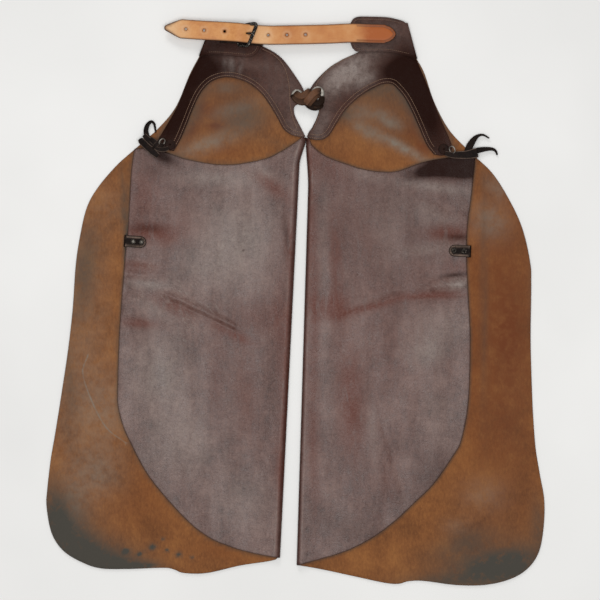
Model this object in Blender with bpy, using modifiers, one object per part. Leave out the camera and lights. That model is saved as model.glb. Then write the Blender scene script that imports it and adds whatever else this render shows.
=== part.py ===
# Batwing leather chaps, laid out flat on a surface with the back of the legs up.
#
# Lengths are in metres. The tables of outline points are in millimetres, which reads better, and
# mm() turns them into metres. X runs across the garment, Y runs from the hem up to the waist, and
# Z is the height above the surface that it lies on.
#
# Each leg is one hide, folded along the inside of the leg. Its front panel lies grain side down
# with the suede up, and its back flap is folded over on top with the grain side up. A yoke of
# smooth leather edges the waist, the centre front and the hip, and runs on as a belt end that is
# folded over at the hip. A strap on the right belt end reaches through a buckle on the left one.

import math

import bpy
import bmesh
from mathutils import Vector
from mathutils.geometry import delaunay_2d_cdt

MM = 0.001

# Leather
HIDE_THICKNESS = 2.0 * MM
YOKE_THICKNESS = 2.4 * MM
STRAP_THICKNESS = 3.2 * MM
THIN_LEATHER = 1.5 * MM
SEAM_GAP = 0.3 * MM

# Folds: outer radius of each fold and how far it takes to settle flat
LEG_FOLD_RADIUS = 3.9 * MM
LEG_FOLD_SETTLE = 45 * MM
BELT_FOLD_RADIUS = 3.5 * MM
BELT_FOLD_SETTLE = 13 * MM
FLAP_LOOSENESS = 0.9 * MM

# Heights of the layers, from the surface up
YOKE_BASE = HIDE_THICKNESS + SEAM_GAP
YOKE_TOP = YOKE_BASE + YOKE_THICKNESS
BELT_END_TOP = YOKE_TOP + SEAM_GAP + YOKE_THICKNESS
FLAP_TOP = 2 * HIDE_THICKNESS + SEAM_GAP + FLAP_LOOSENESS

# Spacing of the mesh points
EDGE_STEP = 15 * MM
GRID_STEP = 36 * MM
FOLD_ROW_STEP = 45 * MM
STRAP_STEP = 9 * MM
THONG_STEP = 4 * MM
TONGUE_STEP = 2.5 * MM
BEND_TOLERANCE = 0.25 * MM
FOLD_STEPS = 6
SETTLE_ROWS = (0.3, 0.7, 1.0)
# Mesh points keep this far from the rim of a large piece and of the strap
SHEET_RIM = 5 * MM
STRAP_RIM = 3 * MM
# An edge stops this far short of a fold, where the rows of the fold begin
LEG_FOLD_CLEAR = 2 * MM
BELT_FOLD_CLEAR = 1.5 * MM

# Hardware
EYELET_HOLE_RADIUS = 5 * MM
EYELET_CLEARANCE = 0.6 * MM
EYELET_RISE = 1.2 * MM
BUCKLE_WIRE = 4.6 * MM
TONGUE_WIRE = 3.4 * MM
RIVET_RADIUS = 4.2 * MM
RIVET_RISE = 1.6 * MM
ROSETTE_RADIUS = 9.4 * MM
ROSETTE_THICKNESS = 2.2 * MM
TIE_RING_RADIUS = 6.2 * MM
TIE_RING_WIRE = 2.4 * MM
LACE_DIAMETER = 11 * MM

# Outlines of each leg, each edge a row of (x, y) in millimetres from one corner to the next. The
# wing runs from the hem end of the fold, round the wing and up to the hip fold of the belt; the
# waist from the crotch up to the same place; the flap from the crotch, along its top and down its
# side back to the hem.
LEGS = {
    "left": {
        "fold": ((-27, -448), (4, 177)),
        "crotch_shift": (240, 284, 6.7),
        "wing": ((-25, -448), (-45, -454), (-97, -462), (-155, -475), (-195, -475), (-212, -469),
                 (-230, -466), (-293, -468), (-340, -467), (-372, -457), (-405, -437),
                 (-426, -406), (-435, -360), (-434, -330), (-428, -278), (-419, -225),
                 (-400, -103), (-390, -20), (-384, 63), (-377, 111), (-365, 163), (-346, 198),
                 (-314, 236), (-283, 264), (-241, 301), (-209, 340), (-185, 396), (-167, 430)),
        "waist": ((16, 284), (6, 308), (-3, 330), (-2, 341), (8, 347), (15, 355), (14, 368),
                  (3, 388), (-27, 427), (-64, 448), (-118, 469), (-146, 482)),
        "flap_top": ((16, 284), (3, 278), (-22, 263), (-52, 249), (-94, 240), (-122, 238),
                     (-150, 240), (-195, 249), (-234, 263), (-258, 267), (-281, 266)),
        "flap_side": ((-281, 266), (-287, 221), (-292, 133), (-298, 69), (-307, -47),
                      (-312, -159), (-308, -183), (-293, -240), (-255, -307), (-198, -374),
                      (-155, -410), (-113, -429), (-70, -441), (-27, -448)),
    },
    "right": {
        "fold": ((2, -461), (22, 195)),
        "crotch_shift": (195, 281, 4.8),
        "wing": ((2, -461), (43, -468), (99, -480), (155, -492), (180, -494), (198, -489.5),
                 (225, -489), (281, -496), (330, -496), (372, -487), (403, -470), (424, -442),
                 (433, -402), (435, -350), (427, -302), (419, -250), (414, -173), (411, -71),
                 (412, 32), (410, 69), (397, 126), (375, 175), (344, 224), (305, 261),
                 (269, 299), (243, 347), (225, 399), (211, 425)),
        "waist": ((20, 281), (27, 301), (38, 326), (42, 338), (34, 344), (25, 352), (24, 366),
                  (39, 389), (67, 414), (108, 434), (137, 450), (169, 469), (194, 486)),
        "flap_top": ((20, 281), (27, 273), (53, 253), (96, 237), (120, 230), (148, 226),
                     (178, 227), (218, 241), (248, 248), (279, 251), (314, 250)),
        "flap_side": ((314, 250), (307, 184), (300, 130), (299, 66), (304, -33), (305, -77),
                      (302, -173), (290, -241), (276, -269), (242, -318), (209, -351),
                      (176, -382), (136, -412), (92, -435), (48, -449), (2, -461)),
    },
}

# Outlines of each yoke: its inner arch from the crotch to the hip, its hip end and outer edge up
# to the hip fold, and the belt end as it lies after the fold, from its top corner round to the
# lower end of the fold.
YOKES = {
    "left": {
        "fold": ((-169, 429), (-148, 483)),
        "tip": ((12, 290), (4, 286)),
        "arch": ((4, 286), (-8, 292), (-21, 304), (-33, 324), (-45, 344), (-59, 363), (-76, 378),
                 (-97, 388), (-118, 392), (-137, 389), (-153, 380), (-167, 363), (-179, 338),
                 (-190, 310), (-202, 282), (-213, 263)),
        "hip": ((-213, 263), (-227, 266), (-238, 272)),
        "outer": ((-238, 272), (-240, 281), (-231, 297), (-207, 339), (-186, 390), (-168, 425)),
        "belt_end": ((-148, 483), (-115, 480), (-83, 477), (-69, 472), (-62, 461), (-62, 446),
                     (-68, 434), (-82, 427), (-120, 430), (-146, 431), (-169, 429)),
    },
    "right": {
        "fold": ((213, 424), (196, 487)),
        "tip": ((24, 290), (32, 285)),
        "arch": ((32, 285), (46, 284), (60, 293), (74, 315), (85, 332), (99, 347), (116, 361),
                 (136, 373), (153, 380), (168, 380), (179, 371), (191, 356), (203, 334),
                 (215, 307), (229, 275), (242, 257)),
        "hip": ((242, 257), (256, 255), (270, 259)),
        "outer": ((270, 259), (273, 270), (266, 290), (247, 333), (229, 380), (212, 420)),
        "belt_end": ((196, 487), (183, 493), (160, 496), (134, 497), (111, 497), (101, 493),
                     (96, 483), (95, 468), (97, 450), (102, 440), (113, 436), (165, 435),
                     (213, 424)),
    },
}

# Folds and creases of each flap: the two ends of the crease, its half width and its rise, in
# millimetres. A rise below zero is a trough.
CREASES = {
    "left": (
        ((-236, 12), (-96, -48), 17, 2.3), ((-224, 34), (-108, -12), 15, -0.8),
        ((-222, -14), (-92, -70), 14, -0.8), ((-297, 50), (-240, 44), 9, 1.6),
        ((-297, 20), (-262, 12), 8, 1.4), ((-300, -34), (-262, -40), 10, 1.3),
        ((-288, 128), (-226, 127), 11, -0.7), ((-286, 148), (-215, 140), 15, 1.8),
        ((-148, 226), (-178, 180), 10, 1.2), ((-164, -58), (-152, -112), 12, 1.2),
        ((-12, 154), (-22, 104), 12, 0.9),
    ),
    "right": (
        ((52, -39), (104, -19), 13, -0.7), ((104, -19), (178, 10), 12, -0.8),
        ((178, 10), (300, 18), 11, -0.8), ((96, -4), (215, 38), 16, 1.5),
        ((265, 34), (299, 32), 13, 2.4), ((250, 50), (300, 54), 10, -0.7),
        ((255, 118), (298, 124), 12, 1.9), ((180, 218), (300, 205), 20, 1.6),
        ((136, -205), (160, -310), 18, 1.6), ((160, -310), (184, -366), 16, 1.4),
    ),
}

# Where the flap is lifted clear of the suede: centre, radius and height over its resting level
LIFTS = {
    "left": (((-262, 262), 44, 2.6), ((-292, 105), 34, 1.6)),
    "right": (((296, 246), 46, 2.8), ((300, 87), 34, 1.6)),
}

# The strap's middle line on the plan, with the height of its underside, in millimetres
STRAP_LINE = (
    (-228, 477.5, 7.6), (-202, 475.5, 8.8), (-176, 473.5, 10.2), (-153, 472, 11.5),
    (-130, 470.8, 12.2), (-114, 469.6, 14.0), (-101, 468.4, 16.9), (-93, 467.6, 16.3),
    (-86, 467, 14.2), (-80, 466.4, 12.5), (-73, 465.8, 11.3), (-60, 464.8, 9.8),
    (-40, 464.2, 8.6), (-10, 464.8, 7.8), (25, 465.4, 7.7), (60, 466.4, 7.8), (99, 468, 8.0),
    (134, 467, 8.0), (174.6, 466, 8.0),
)
STRAP_HALF_WIDTH = 15.6 * MM
STRAP_HOLE_RADIUS = 2.5 * MM
# Half of each end of the strap: distance in from that end, and distance from the middle line
STRAP_TIP = ((0, 0), (0.8, 2.6), (2.7, 4.2), (15, 10), (24, 14), (29, 15.6))
STRAP_BUTT = ((20, 15.6), (10.2, 12), (4.5, 7.8), (1.5, 4), (0, 0))
# Distances of the holes from the strap's pointed tip
STRAP_HOLES = (37, 69, 105, 181, 213.5, 246)
# The slot where the buckle's tongue comes up: its start, its end and half of its width
TONGUE_SLOT = (136.5, 152.0, 2.6)

# The buckle: middle of the heel bar and of the front bar, and how far the front bar leans in X
HEEL_BAR = Vector((-100.5, 466.2, 11.8)) * MM
FRONT_BAR = Vector((-73.4, 465.6, 19.3)) * MM
FRONT_BAR_LEAN = 5.2 * MM
BUCKLE_HALF_WIDTH = 19.8 * MM
BUCKLE_SQUARENESS = 0.26
BUCKLE_SIDES = 44
TONGUE_LINE = (
    (-95.6, 467.2, 12.0), (-90.5, 467.3, 12.2), (-86.4, 467.1, 14.6), (-83.6, 466.9, 18.6),
    (-80.0, 466.4, 22.2), (-75.5, 465.6, 23.9), (-70.5, 464.9, 23.4), (-67.5, 464.5, 22.2),
)
CHAPE_FOLD = ((-96.1, 452), (-96.5, 478))
CHAPE_LENGTH = 35 * MM
CHAPE_SETTLE = 20 * MM
CHAPE_SLACK = 0.2 * MM

EYELETS = {"left": ((3, 360), 10.8), "right": ((39, 364), 12.0)}

# Snap tabs: the fold at the flap's edge, from its lower to its upper end, and how far in from it
# the two snaps stand
SNAP_TABS = {
    "left": {"fold": ((-300.5, 94), (-299, 117)), "snaps": (16.5, 31)},
    "right": {"fold": ((307.5, 98), (306.5, 76)), "snaps": (12.5, 30)},
}
SNAP_TAB_LENGTH = 39 * MM
SNAP_TAB_TUCK = 11 * MM
SNAP_TAB_SETTLE = 5 * MM
# The flap is lifted at its edge, and the tab lies on it at this height
FLAP_EDGE_TOP = FLAP_TOP + 1.6 * MM
ROUND_END_STEPS = 10

ROSETTES = {"left": (-219, 274), "right": (259, 266)}
# Tie rings: centre, direction of the ring's long axis on the plan and how far it stands up
TIE_RINGS = {"left": ((-236, 281), 42, 22), "right": ((276.5, 267), -62, 45)}

# Thongs: (x, y, z) of the middle line in millimetres, with the width there
THONGS = {
    "left_tie_band": ((-272, 280, 9.5, 9), (-262, 270, 9.5, 9), (-250, 259, 9.5, 9),
                      (-241, 252, 9.4, 8)),
    "left_tie_loop": ((-266, 288, 9.4, 8), (-255, 277, 9.5, 8), (-243, 268.5, 9.5, 8),
                      (-231, 266, 9.4, 7), (-224, 269, 9.2, 6)),
    "left_tie_tail": ((-257, 284, 6.6, 9), (-261.5, 298, 5.0, 9), (-259, 309, 4.0, 7),
                      (-252, 315, 3.6, 5.5), (-246, 309, 3.4, 4.5), (-244, 297, 3.2, 3.5)),
    "right_tie_band": ((262, 257, 9.2, 6), (274, 253, 9.6, 8), (286, 253.5, 9.7, 10),
                       (300, 255.5, 9.7, 13), (311, 257.5, 9.7, 15), (317, 259, 9.6, 15)),
    "right_upper_tail": ((298.5, 260, 6.8, 9), (301, 271, 6.4, 12), (306, 283, 5.0, 10),
                         (313, 289, 4.4, 6.5), (322, 291, 4.0, 4.5), (337, 285, 3.4, 3)),
    "right_lower_tail": ((311, 259.5, 6.8, 7), (320, 262, 5.6, 9), (332, 266, 4.2, 9.5),
                         (345, 266.5, 3.6, 7), (351, 262, 3.4, 5), (353, 256, 3.2, 3.5)),
}
THONG_THICKNESS = 2.4 * MM

# The front lace: a thick soft lace from the left eyelet, across, and knotted at the right one
FRONT_LACE = ((-3, 356, 12.2), (8, 352, 12.8), (18, 357, 13.0), (26, 366, 13.0), (36, 369, 12.6),
              (44, 361, 12.2), (42, 349, 11.6), (35, 342, 10.4))

# Colours: sRGB, roughness, metallic
LOOKS = {
    "hide": ((0.44, 0.33, 0.31), 0.5, 0.0),
    "yoke": ((0.25, 0.15, 0.14), 0.45, 0.0),
    "strap": ((0.80, 0.55, 0.33), 0.5, 0.0),
    "black leather": ((0.09, 0.08, 0.08), 0.5, 0.0),
    "lace": ((0.36, 0.22, 0.14), 0.7, 0.0),
    "black iron": ((0.08, 0.08, 0.09), 0.45, 0.7),
    "nickel": ((0.72, 0.70, 0.66), 0.35, 0.9),
}


def clear_scene():
    """Remove whatever the new scene came with."""
    for thing in list(bpy.data.objects):
        bpy.data.objects.remove(thing)


def mm(point):
    """A point or row of a table, in millimetres, as a vector in metres."""
    return Vector([value * MM for value in point])


def smooth_step(amount):
    """0 below 0, 1 above 1, and an even S between."""
    amount = min(1.0, max(0.0, amount))
    return amount * amount * (3.0 - 2.0 * amount)


def smooth_curve(points, step):
    """Points along a Catmull-Rom curve through a list of vectors, about one step apart."""
    ends = [2 * points[0] - points[1]] + list(points) + [2 * points[-1] - points[-2]]
    curve = []
    for before, start, end, after in zip(ends, ends[1:], ends[2:], ends[3:]):
        pieces = max(1, round((end - start).length / step))
        for piece in range(pieces):
            t = piece / pieces
            curve.append(0.5 * (2 * start + (end - before) * t
                                + (2 * before - 5 * start + 4 * end - after) * t * t
                                + (3 * start - before - 3 * end + after) * t * t * t))
    curve.append(points[-1].copy())
    return curve


def inside(point, outline):
    """True where a point lies inside a closed outline."""
    crossings = False
    x, y = point
    for a, b in zip(outline, outline[1:] + outline[:1]):
        if (a[1] > y) != (b[1] > y) and x < (b[0] - a[0]) * (y - a[1]) / (b[1] - a[1]) + a[0]:
            crossings = not crossings
    return crossings


def distance_to_line(point, start, end):
    """Distance from a point to a line between two ends, and how far along it lies, 0 to 1."""
    along = end - start
    share = min(1.0, max(0.0, (point - start).dot(along) / along.length_squared))
    return (point - start - along * share).length, share


def distance_to_outline(point, outline):
    """Distance from a point to the nearest side of a closed outline."""
    return min(distance_to_line(point, a, b)[0] for a, b in zip(outline, outline[1:] + outline[:1]))


def clear_of(point, outline, distance):
    """True where a point is further than a distance from every side of a closed outline."""
    return distance_to_outline(point, outline) > distance


def round_hole(centre, radius, sides=12):
    """The outline of a round hole."""
    turn = 2 * math.pi / sides
    return [centre + Vector((math.cos(i * turn), math.sin(i * turn))) * radius for i in range(sides)]


class Fold:
    """A straight fold in a sheet: where it lies, and how a flat pattern goes round it.

    A place on the pattern is (s, v). v runs along the fold. s is the distance from the fold on
    the lower layer, goes through the bend, and is less than bend_end on the layer folded over.
    """

    def __init__(self, ends, toward, radius, base, settle, rest_top, shift=None):
        self.start = mm(ends[0])
        self.along = (mm(ends[1]) - self.start).normalized()
        across = Vector((-self.along.y, self.along.x))
        self.inward = across if across.x * toward > 0 else -across
        self.radius = radius
        self.base = base
        self.settle = settle
        self.rest_top = rest_top
        self.shift = shift
        self.bend_end = radius - math.pi * radius

    def shift_at(self, v):
        """How far the fold line leans out from straight near one end."""
        if self.shift is None:
            return 0.0
        low, high, amount = self.shift
        return amount * smooth_step((v - low) / (high - low))

    def lower(self, point):
        """Pattern place of a point on the lower layer, given on the plan."""
        v = (point - self.start).dot(self.along)
        return Vector(((point - self.start).dot(self.inward) + self.shift_at(v), v))

    def upper(self, point):
        """Pattern place of a point on the layer folded over, given on the plan."""
        s, v = self.lower(point)
        return Vector((self.radius + self.bend_end - s, v))

    def bend_rows(self):
        """Pattern distances of the rows of points that go round the bend."""
        return [self.radius - math.pi * self.radius * i / FOLD_STEPS for i in range(FOLD_STEPS + 1)]

    def place(self, s, v, rise):
        """The point in space of a pattern place, on the outer face of the sheet."""
        past_the_fold = v < -SEAM_GAP
        if s >= self.radius or past_the_fold:
            width, height = s, self.base
        elif s > self.bend_end:
            angle = (self.radius - s) / self.radius
            width = self.radius * (1 - math.sin(angle))
            height = self.base + self.radius * (1 - math.cos(angle))
        else:
            width = self.radius + self.bend_end - s
            fall = smooth_step((width - self.radius) / self.settle)
            loop_top = self.base + 2 * self.radius
            height = loop_top + (self.rest_top - loop_top) * fall
        flat = self.start + self.inward * (width - self.shift_at(v)) + self.along * v
        if s <= self.bend_end and not past_the_fold:
            height += rise(flat) * smooth_step((width - self.radius) / self.settle)
        return Vector((flat.x, flat.y, height))


def pattern_points(outline, holes, fold, rise):
    """Inner points of a flat pattern: rows along the bend, a grid, and more where it is bent."""
    points = []
    low = min(v for s, v in outline)
    high = max(v for s, v in outline)

    settled = [fold.bend_end - share * fold.settle for share in SETTLE_ROWS]
    rows = int((high - low) / FOLD_ROW_STEP)
    for row in range(rows + 1):
        v = low + (row + 0.5) * (high - low) / (rows + 1)
        points += [Vector((s, v)) for s in fold.bend_rows() + settled]

    left = min(s for s, v in outline)
    right = max(s for s, v in outline)
    half = GRID_STEP / 2
    for i in range(int((right - left) / half) + 1):
        for j in range(int((high - low) / half) + 1):
            place = Vector((left + i * half, low + j * half))
            coarse = i % 2 == 0 and j % 2 == 0
            if place.x < fold.bend_end - fold.settle:
                middle = fold.place(*place, rise).z
                sides = [fold.place(place.x + half * a, place.y + half * b, rise).z
                         for a, b in ((1, 0), (-1, 0), (0, 1), (0, -1), (1, 1), (-1, -1))]
                bend = max(abs(sides[0] + sides[1] - 2 * middle), abs(sides[2] + sides[3] - 2 * middle),
                           abs(sides[4] + sides[5] - 2 * middle))
                if coarse or bend > BEND_TOLERANCE:
                    points.append(place)
            elif i % 4 == 0 and j % 4 == 0 and place.x > fold.radius:
                points.append(place)
    return [p for p in points if inside(p, outline) and clear_of(p, outline, SHEET_RIM)
            and all(not inside(p, hole) and clear_of(p, hole, SHEET_RIM) for hole in holes)]


def cut_sheet(name, outline, holes, inner, place, thickness, look):
    """A leather piece: a flat pattern with holes, put in its place point by point, then thickened."""
    loops = [outline] + holes
    points = []
    edges = []
    for loop in loops:
        first = len(points)
        points += loop
        edges += [(first + i, first + (i + 1) % len(loop)) for i in range(len(loop))]
    points += inner
    flat, _, faces, _, _, _ = delaunay_2d_cdt(points, edges, [], 0, 1e-7)

    mesh = bpy.data.meshes.new(name)
    cloth = bmesh.new()
    corners = [cloth.verts.new(place(*point)) for point in flat]
    for face in faces:
        middle = sum((flat[i] for i in face), Vector((0, 0))) / len(face)
        if inside(middle, outline) and not any(inside(middle, hole) for hole in holes):
            cloth.faces.new([corners[i] for i in face])
    for corner in [c for c in cloth.verts if not c.link_faces]:
        cloth.verts.remove(corner)
    cloth.normal_update()
    lowest = min(cloth.faces, key=lambda f: f.calc_center_median().z)
    if lowest.normal.z > 0:
        bmesh.ops.reverse_faces(cloth, faces=cloth.faces)
    cloth.to_mesh(mesh)
    cloth.free()

    piece = bpy.data.objects.new(name, mesh)
    garment.objects.link(piece)
    wall = piece.modifiers.new("Thickness", "SOLIDIFY")
    wall.thickness = thickness
    wall.offset = -1.0
    wall.use_quality_normals = True
    finish(piece, look)
    return piece


def finish(piece, look):
    """Give a piece its material and smooth shading."""
    colour, roughness, metallic = LOOKS[look]
    material = bpy.data.materials.get(look)
    if material is None:
        material = bpy.data.materials.new(look)
        material.use_nodes = True
        shader = material.node_tree.nodes["Principled BSDF"]
        shader.inputs["Base Color"].default_value = (*[c ** 2.2 for c in colour], 1.0)
        shader.inputs["Roughness"].default_value = roughness
        shader.inputs["Metallic"].default_value = metallic
    piece.data.materials.clear()
    piece.data.materials.append(material)


def shade_round(piece):
    """Shade a turned piece smooth, but for its sharp corners."""
    piece.data.shade_smooth()
    piece.data.set_sharp_from_angle(angle=math.radians(40))


def join_edges(*edges):
    """One closed outline from edges that follow each other, each sharing its corner with the next."""
    outline = []
    for edge in edges:
        outline += edge[:-1]
    return outline


def level(point):
    """The rise of a sheet that has no creases."""
    return 0.0


def flap_rise(side):
    """How far the flap of one leg stands over its resting level at a point on the plan."""
    creases = [(mm(start), mm(end), width * MM, rise * MM) for start, end, width, rise in CREASES[side]]
    lifts = [(mm(centre), radius * MM, rise * MM) for centre, radius, rise in LIFTS[side]]

    def rise(point):
        height = 0.0
        for start, end, width, amount in creases:
            away, share = distance_to_line(point, start, end)
            ends = 0.45 + 0.55 * math.sin(math.pi * min(1.0, max(0.0, share)))
            height += amount * ends * (1 - smooth_step(away / (1.6 * width)))
        for centre, radius, amount in lifts:
            height += amount * (1 - smooth_step(((point - centre).length / radius - 0.45) / 0.55))
        return max(height, -0.8 * FLAP_LOOSENESS)

    return rise


def make_leg(side):
    """One leg: a hide folded along the inside of the leg, with its wing, waist and back flap."""
    edges = LEGS[side]
    toward = -1 if side == "left" else 1
    low, high, amount = edges["crotch_shift"]
    fold = Fold(edges["fold"], toward, LEG_FOLD_RADIUS, 0.0, LEG_FOLD_SETTLE, FLAP_TOP)
    low_v, high_v = [fold.lower(mm((edges["fold"][1][0], y))).y for y in (low, high)]
    fold.shift = (low_v, high_v, amount * MM)
    rise = flap_rise(side)

    curve = {name: smooth_curve([mm(p) for p in edges[name]], EDGE_STEP)
             for name in ("wing", "waist", "flap_top", "flap_side")}
    front = [fold.lower(p) for p in curve["wing"] + curve["waist"][::-1]]
    back = [fold.upper(p) for p in curve["flap_top"] + curve["flap_side"][1:]]
    front = [p for p in front if p.x > fold.radius + LEG_FOLD_CLEAR]
    back = [p for p in back if p.x < fold.bend_end - LEG_FOLD_CLEAR]
    hem_v = fold.lower(mm(edges["flap_side"][-1])).y
    crotch_v = fold.lower(mm(edges["waist"][0])).y
    bend = fold.bend_rows()
    outline = front + [Vector((s, crotch_v)) for s in bend]
    outline += back + [Vector((s, hem_v)) for s in reversed(bend)]

    centre, _ = EYELETS[side]
    holes = [round_hole(fold.lower(mm(centre)), EYELET_HOLE_RADIUS + EYELET_CLEARANCE)]
    inner = pattern_points(outline, holes, fold, rise)
    return cut_sheet(side + "_leg", outline, holes, inner,
                     lambda s, v: fold.place(s, v, rise), HIDE_THICKNESS, "hide")


def make_yoke(side):
    """One yoke: the smooth facing round the arch, with its belt end folded over at the hip."""
    edges = YOKES[side]
    toward = 1 if side == "left" else -1
    fold = Fold(edges["fold"], toward, BELT_FOLD_RADIUS, YOKE_BASE, BELT_FOLD_SETTLE, BELT_END_TOP)
    curve = {name: smooth_curve([mm(p) for p in edges[name]], EDGE_STEP)
             for name in ("arch", "hip", "outer", "belt_end")}
    waist = smooth_curve([mm(p) for p in LEGS[side]["waist"]], EDGE_STEP)
    tip = mm(edges["tip"][0])
    waist = [tip] + [p for p in waist if p.y > tip.y + SHEET_RIM]

    front = [fold.lower(p) for p in join_edges(curve["arch"], curve["hip"], curve["outer"])]
    front = [p for p in front if p.y < -BELT_FOLD_CLEAR]
    top = [fold.lower(p) for p in reversed(waist)]
    top = [p for p in top if p.x > fold.radius + BELT_FOLD_CLEAR]
    end = [fold.upper(p) for p in curve["belt_end"]]
    end = [p for p in end if p.x < fold.bend_end - BELT_FOLD_CLEAR]
    bend = fold.bend_rows()
    high_v = (top[0].y + end[0].y) / 2
    outline = front + [Vector((s, 0.0)) for s in bend] + end[::-1]
    outline += [Vector((s, high_v)) for s in reversed(bend)] + top

    centre, _ = EYELETS[side]
    holes = [round_hole(fold.lower(mm(centre)), EYELET_HOLE_RADIUS + EYELET_CLEARANCE)]
    inner = pattern_points(outline, holes, fold, level)
    return cut_sheet(side + "_yoke", outline, holes, inner,
                     lambda s, v: fold.place(s, v, level), YOKE_THICKNESS, "yoke")


def line_frame(line, distance):
    """Point and level sideways direction at a distance along a smooth line of points."""
    for start, end in zip(line, line[1:]):
        length = (end.xy - start.xy).length
        if distance <= length or end == line[-1]:
            break
        distance -= length
    ahead = (end.xy - start.xy).normalized()
    return start + (end - start) * (distance / length), Vector((-ahead.y, ahead.x))


def make_strap():
    """The billet strap, with its pointed end, its holes and the slot where the tongue comes up."""
    line = smooth_curve([mm(p) for p in STRAP_LINE], THONG_STEP)
    length = sum((b.xy - a.xy).length for a, b in zip(line, line[1:]))

    def place(s, v):
        point, sideways = line_frame(line, s)
        return Vector((point.x + sideways.x * v, point.y + sideways.y * v, point.z))

    tip = [mm(row) for row in STRAP_TIP]
    butt = [Vector((length - away * MM, out * MM)) for away, out in STRAP_BUTT]
    steps = int((butt[0].x - tip[-1].x) / STRAP_STEP)
    side = [tip[-1].lerp(butt[0], i / steps) for i in range(1, steps)]
    half_outline = tip + side + butt
    outline = half_outline + [Vector((p.x, -p.y)) for p in reversed(half_outline[1:-1])]

    holes = [round_hole(Vector((at * MM, 0.0)), STRAP_HOLE_RADIUS) for at in STRAP_HOLES]
    slot_start, slot_end, slot_half = [value * MM for value in TONGUE_SLOT]
    slot = round_hole(Vector((0.0, 0.0)), slot_half)
    holes.append([p + Vector((slot_end - slot_half if p.x > 0 else slot_start + slot_half, 0.0))
                  for p in slot])
    inner = [Vector((i * STRAP_STEP, share * STRAP_HALF_WIDTH))
             for i in range(1, int(length / STRAP_STEP)) for share in (-0.5, 0.0, 0.5)]
    inner = [p for p in inner if clear_of(p, outline, STRAP_RIM)
             and all(not inside(p, hole) and clear_of(p, hole, STRAP_RIM / 2) for hole in holes)]
    return cut_sheet("billet_strap", outline, holes, inner, place, STRAP_THICKNESS, "strap")


def turned_piece(name, profile, centre, base, look, steps=24):
    """A round piece turned from a profile of (radius, height), closed by the profile itself."""
    mesh = bpy.data.meshes.new(name)
    section = bmesh.new()
    corners = [section.verts.new((radius, 0.0, height)) for radius, height in profile]
    for a, b in zip(corners, corners[1:]):
        section.edges.new((a, b))
    if profile[0][0] > 0:
        section.edges.new((corners[-1], corners[0]))
    section.to_mesh(mesh)
    section.free()
    piece = bpy.data.objects.new(name, mesh)
    garment.objects.link(piece)
    piece.location = (centre.x, centre.y, base)
    turn = piece.modifiers.new("Turn", "SCREW")
    turn.steps = steps
    turn.render_steps = steps
    turn.use_merge_vertices = True
    turn.merge_threshold = 0.00005
    finish(piece, look)
    shade_round(piece)
    return piece


def make_eyelet(side):
    """A nickel eyelet seen from its flanged side, round the hole in the yoke."""
    centre, radius = EYELETS[side]
    outer = radius * MM
    hole = EYELET_HOLE_RADIUS
    rise = EYELET_RISE
    flange = outer - hole
    profile = ((hole, rise * 0.6), (hole + 0.18 * flange, rise), (outer - 0.3 * flange, rise),
               (outer, rise * 0.35), (outer, 0.0), (hole, 0.0))
    return turned_piece(side + "_eyelet", profile, mm(centre), YOKE_TOP + SEAM_GAP, "nickel")


def make_disc(name, centre, radius, rise, base, look, steps=16):
    """A low domed disc, such as a rivet head or a leather rosette."""
    profile = ((0.0, rise), (radius * 0.55, rise * 0.93), (radius * 0.88, rise * 0.62),
               (radius, rise * 0.2), (radius, 0.0), (0.0, 0.0))
    return turned_piece(name, profile, centre, base, look, steps)


def tube(name, points, diameter, look, cyclic=False, resolution=3, widths=None, flat=0.0):
    """A round wire or lace, or a flat thong where flat gives its thickness, along a line of points."""
    data = bpy.data.curves.new(name, "CURVE")
    data.dimensions = "3D"
    data.twist_mode = "Z_UP"
    data.bevel_resolution = resolution
    data.use_fill_caps = not cyclic
    if flat:
        data.bevel_depth = flat / 2
        data.extrude = diameter / 2 - flat / 2
    else:
        data.bevel_depth = diameter / 2
    line = data.splines.new("POLY")
    line.points.add(len(points) - 1)
    for index, point in enumerate(points):
        line.points[index].co = (*point, 1.0)
        line.points[index].tilt = math.pi / 2 if flat else 0.0
        line.points[index].radius = widths[index] / diameter if widths else 1.0
    line.use_cyclic_u = cyclic
    line.use_smooth = True
    piece = bpy.data.objects.new(name, data)
    garment.objects.link(piece)
    finish(piece, look)
    return piece


def make_buckle():
    """The iron buckle frame and its tongue, lying over the left belt end with the strap in it."""
    loop = []
    for index in range(BUCKLE_SIDES):
        angle = 2 * math.pi * (index + 0.5) / BUCKLE_SIDES
        along = math.copysign(abs(math.cos(angle)) ** BUCKLE_SQUARENESS, math.cos(angle))
        across = math.copysign(abs(math.sin(angle)) ** BUCKLE_SQUARENESS, math.sin(angle))
        share = (1 + along) / 2
        middle = HEEL_BAR.lerp(FRONT_BAR, share)
        lean = FRONT_BAR_LEAN * share * across
        half = BUCKLE_HALF_WIDTH * across
        loop.append(Vector((middle.x + lean, middle.y + half, middle.z)))
    tube("buckle_frame", loop, BUCKLE_WIRE, "black iron", cyclic=True)
    tongue = smooth_curve([mm(p) for p in TONGUE_LINE], TONGUE_STEP)
    tube("buckle_tongue", tongue, TONGUE_WIRE, "black iron")


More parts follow.
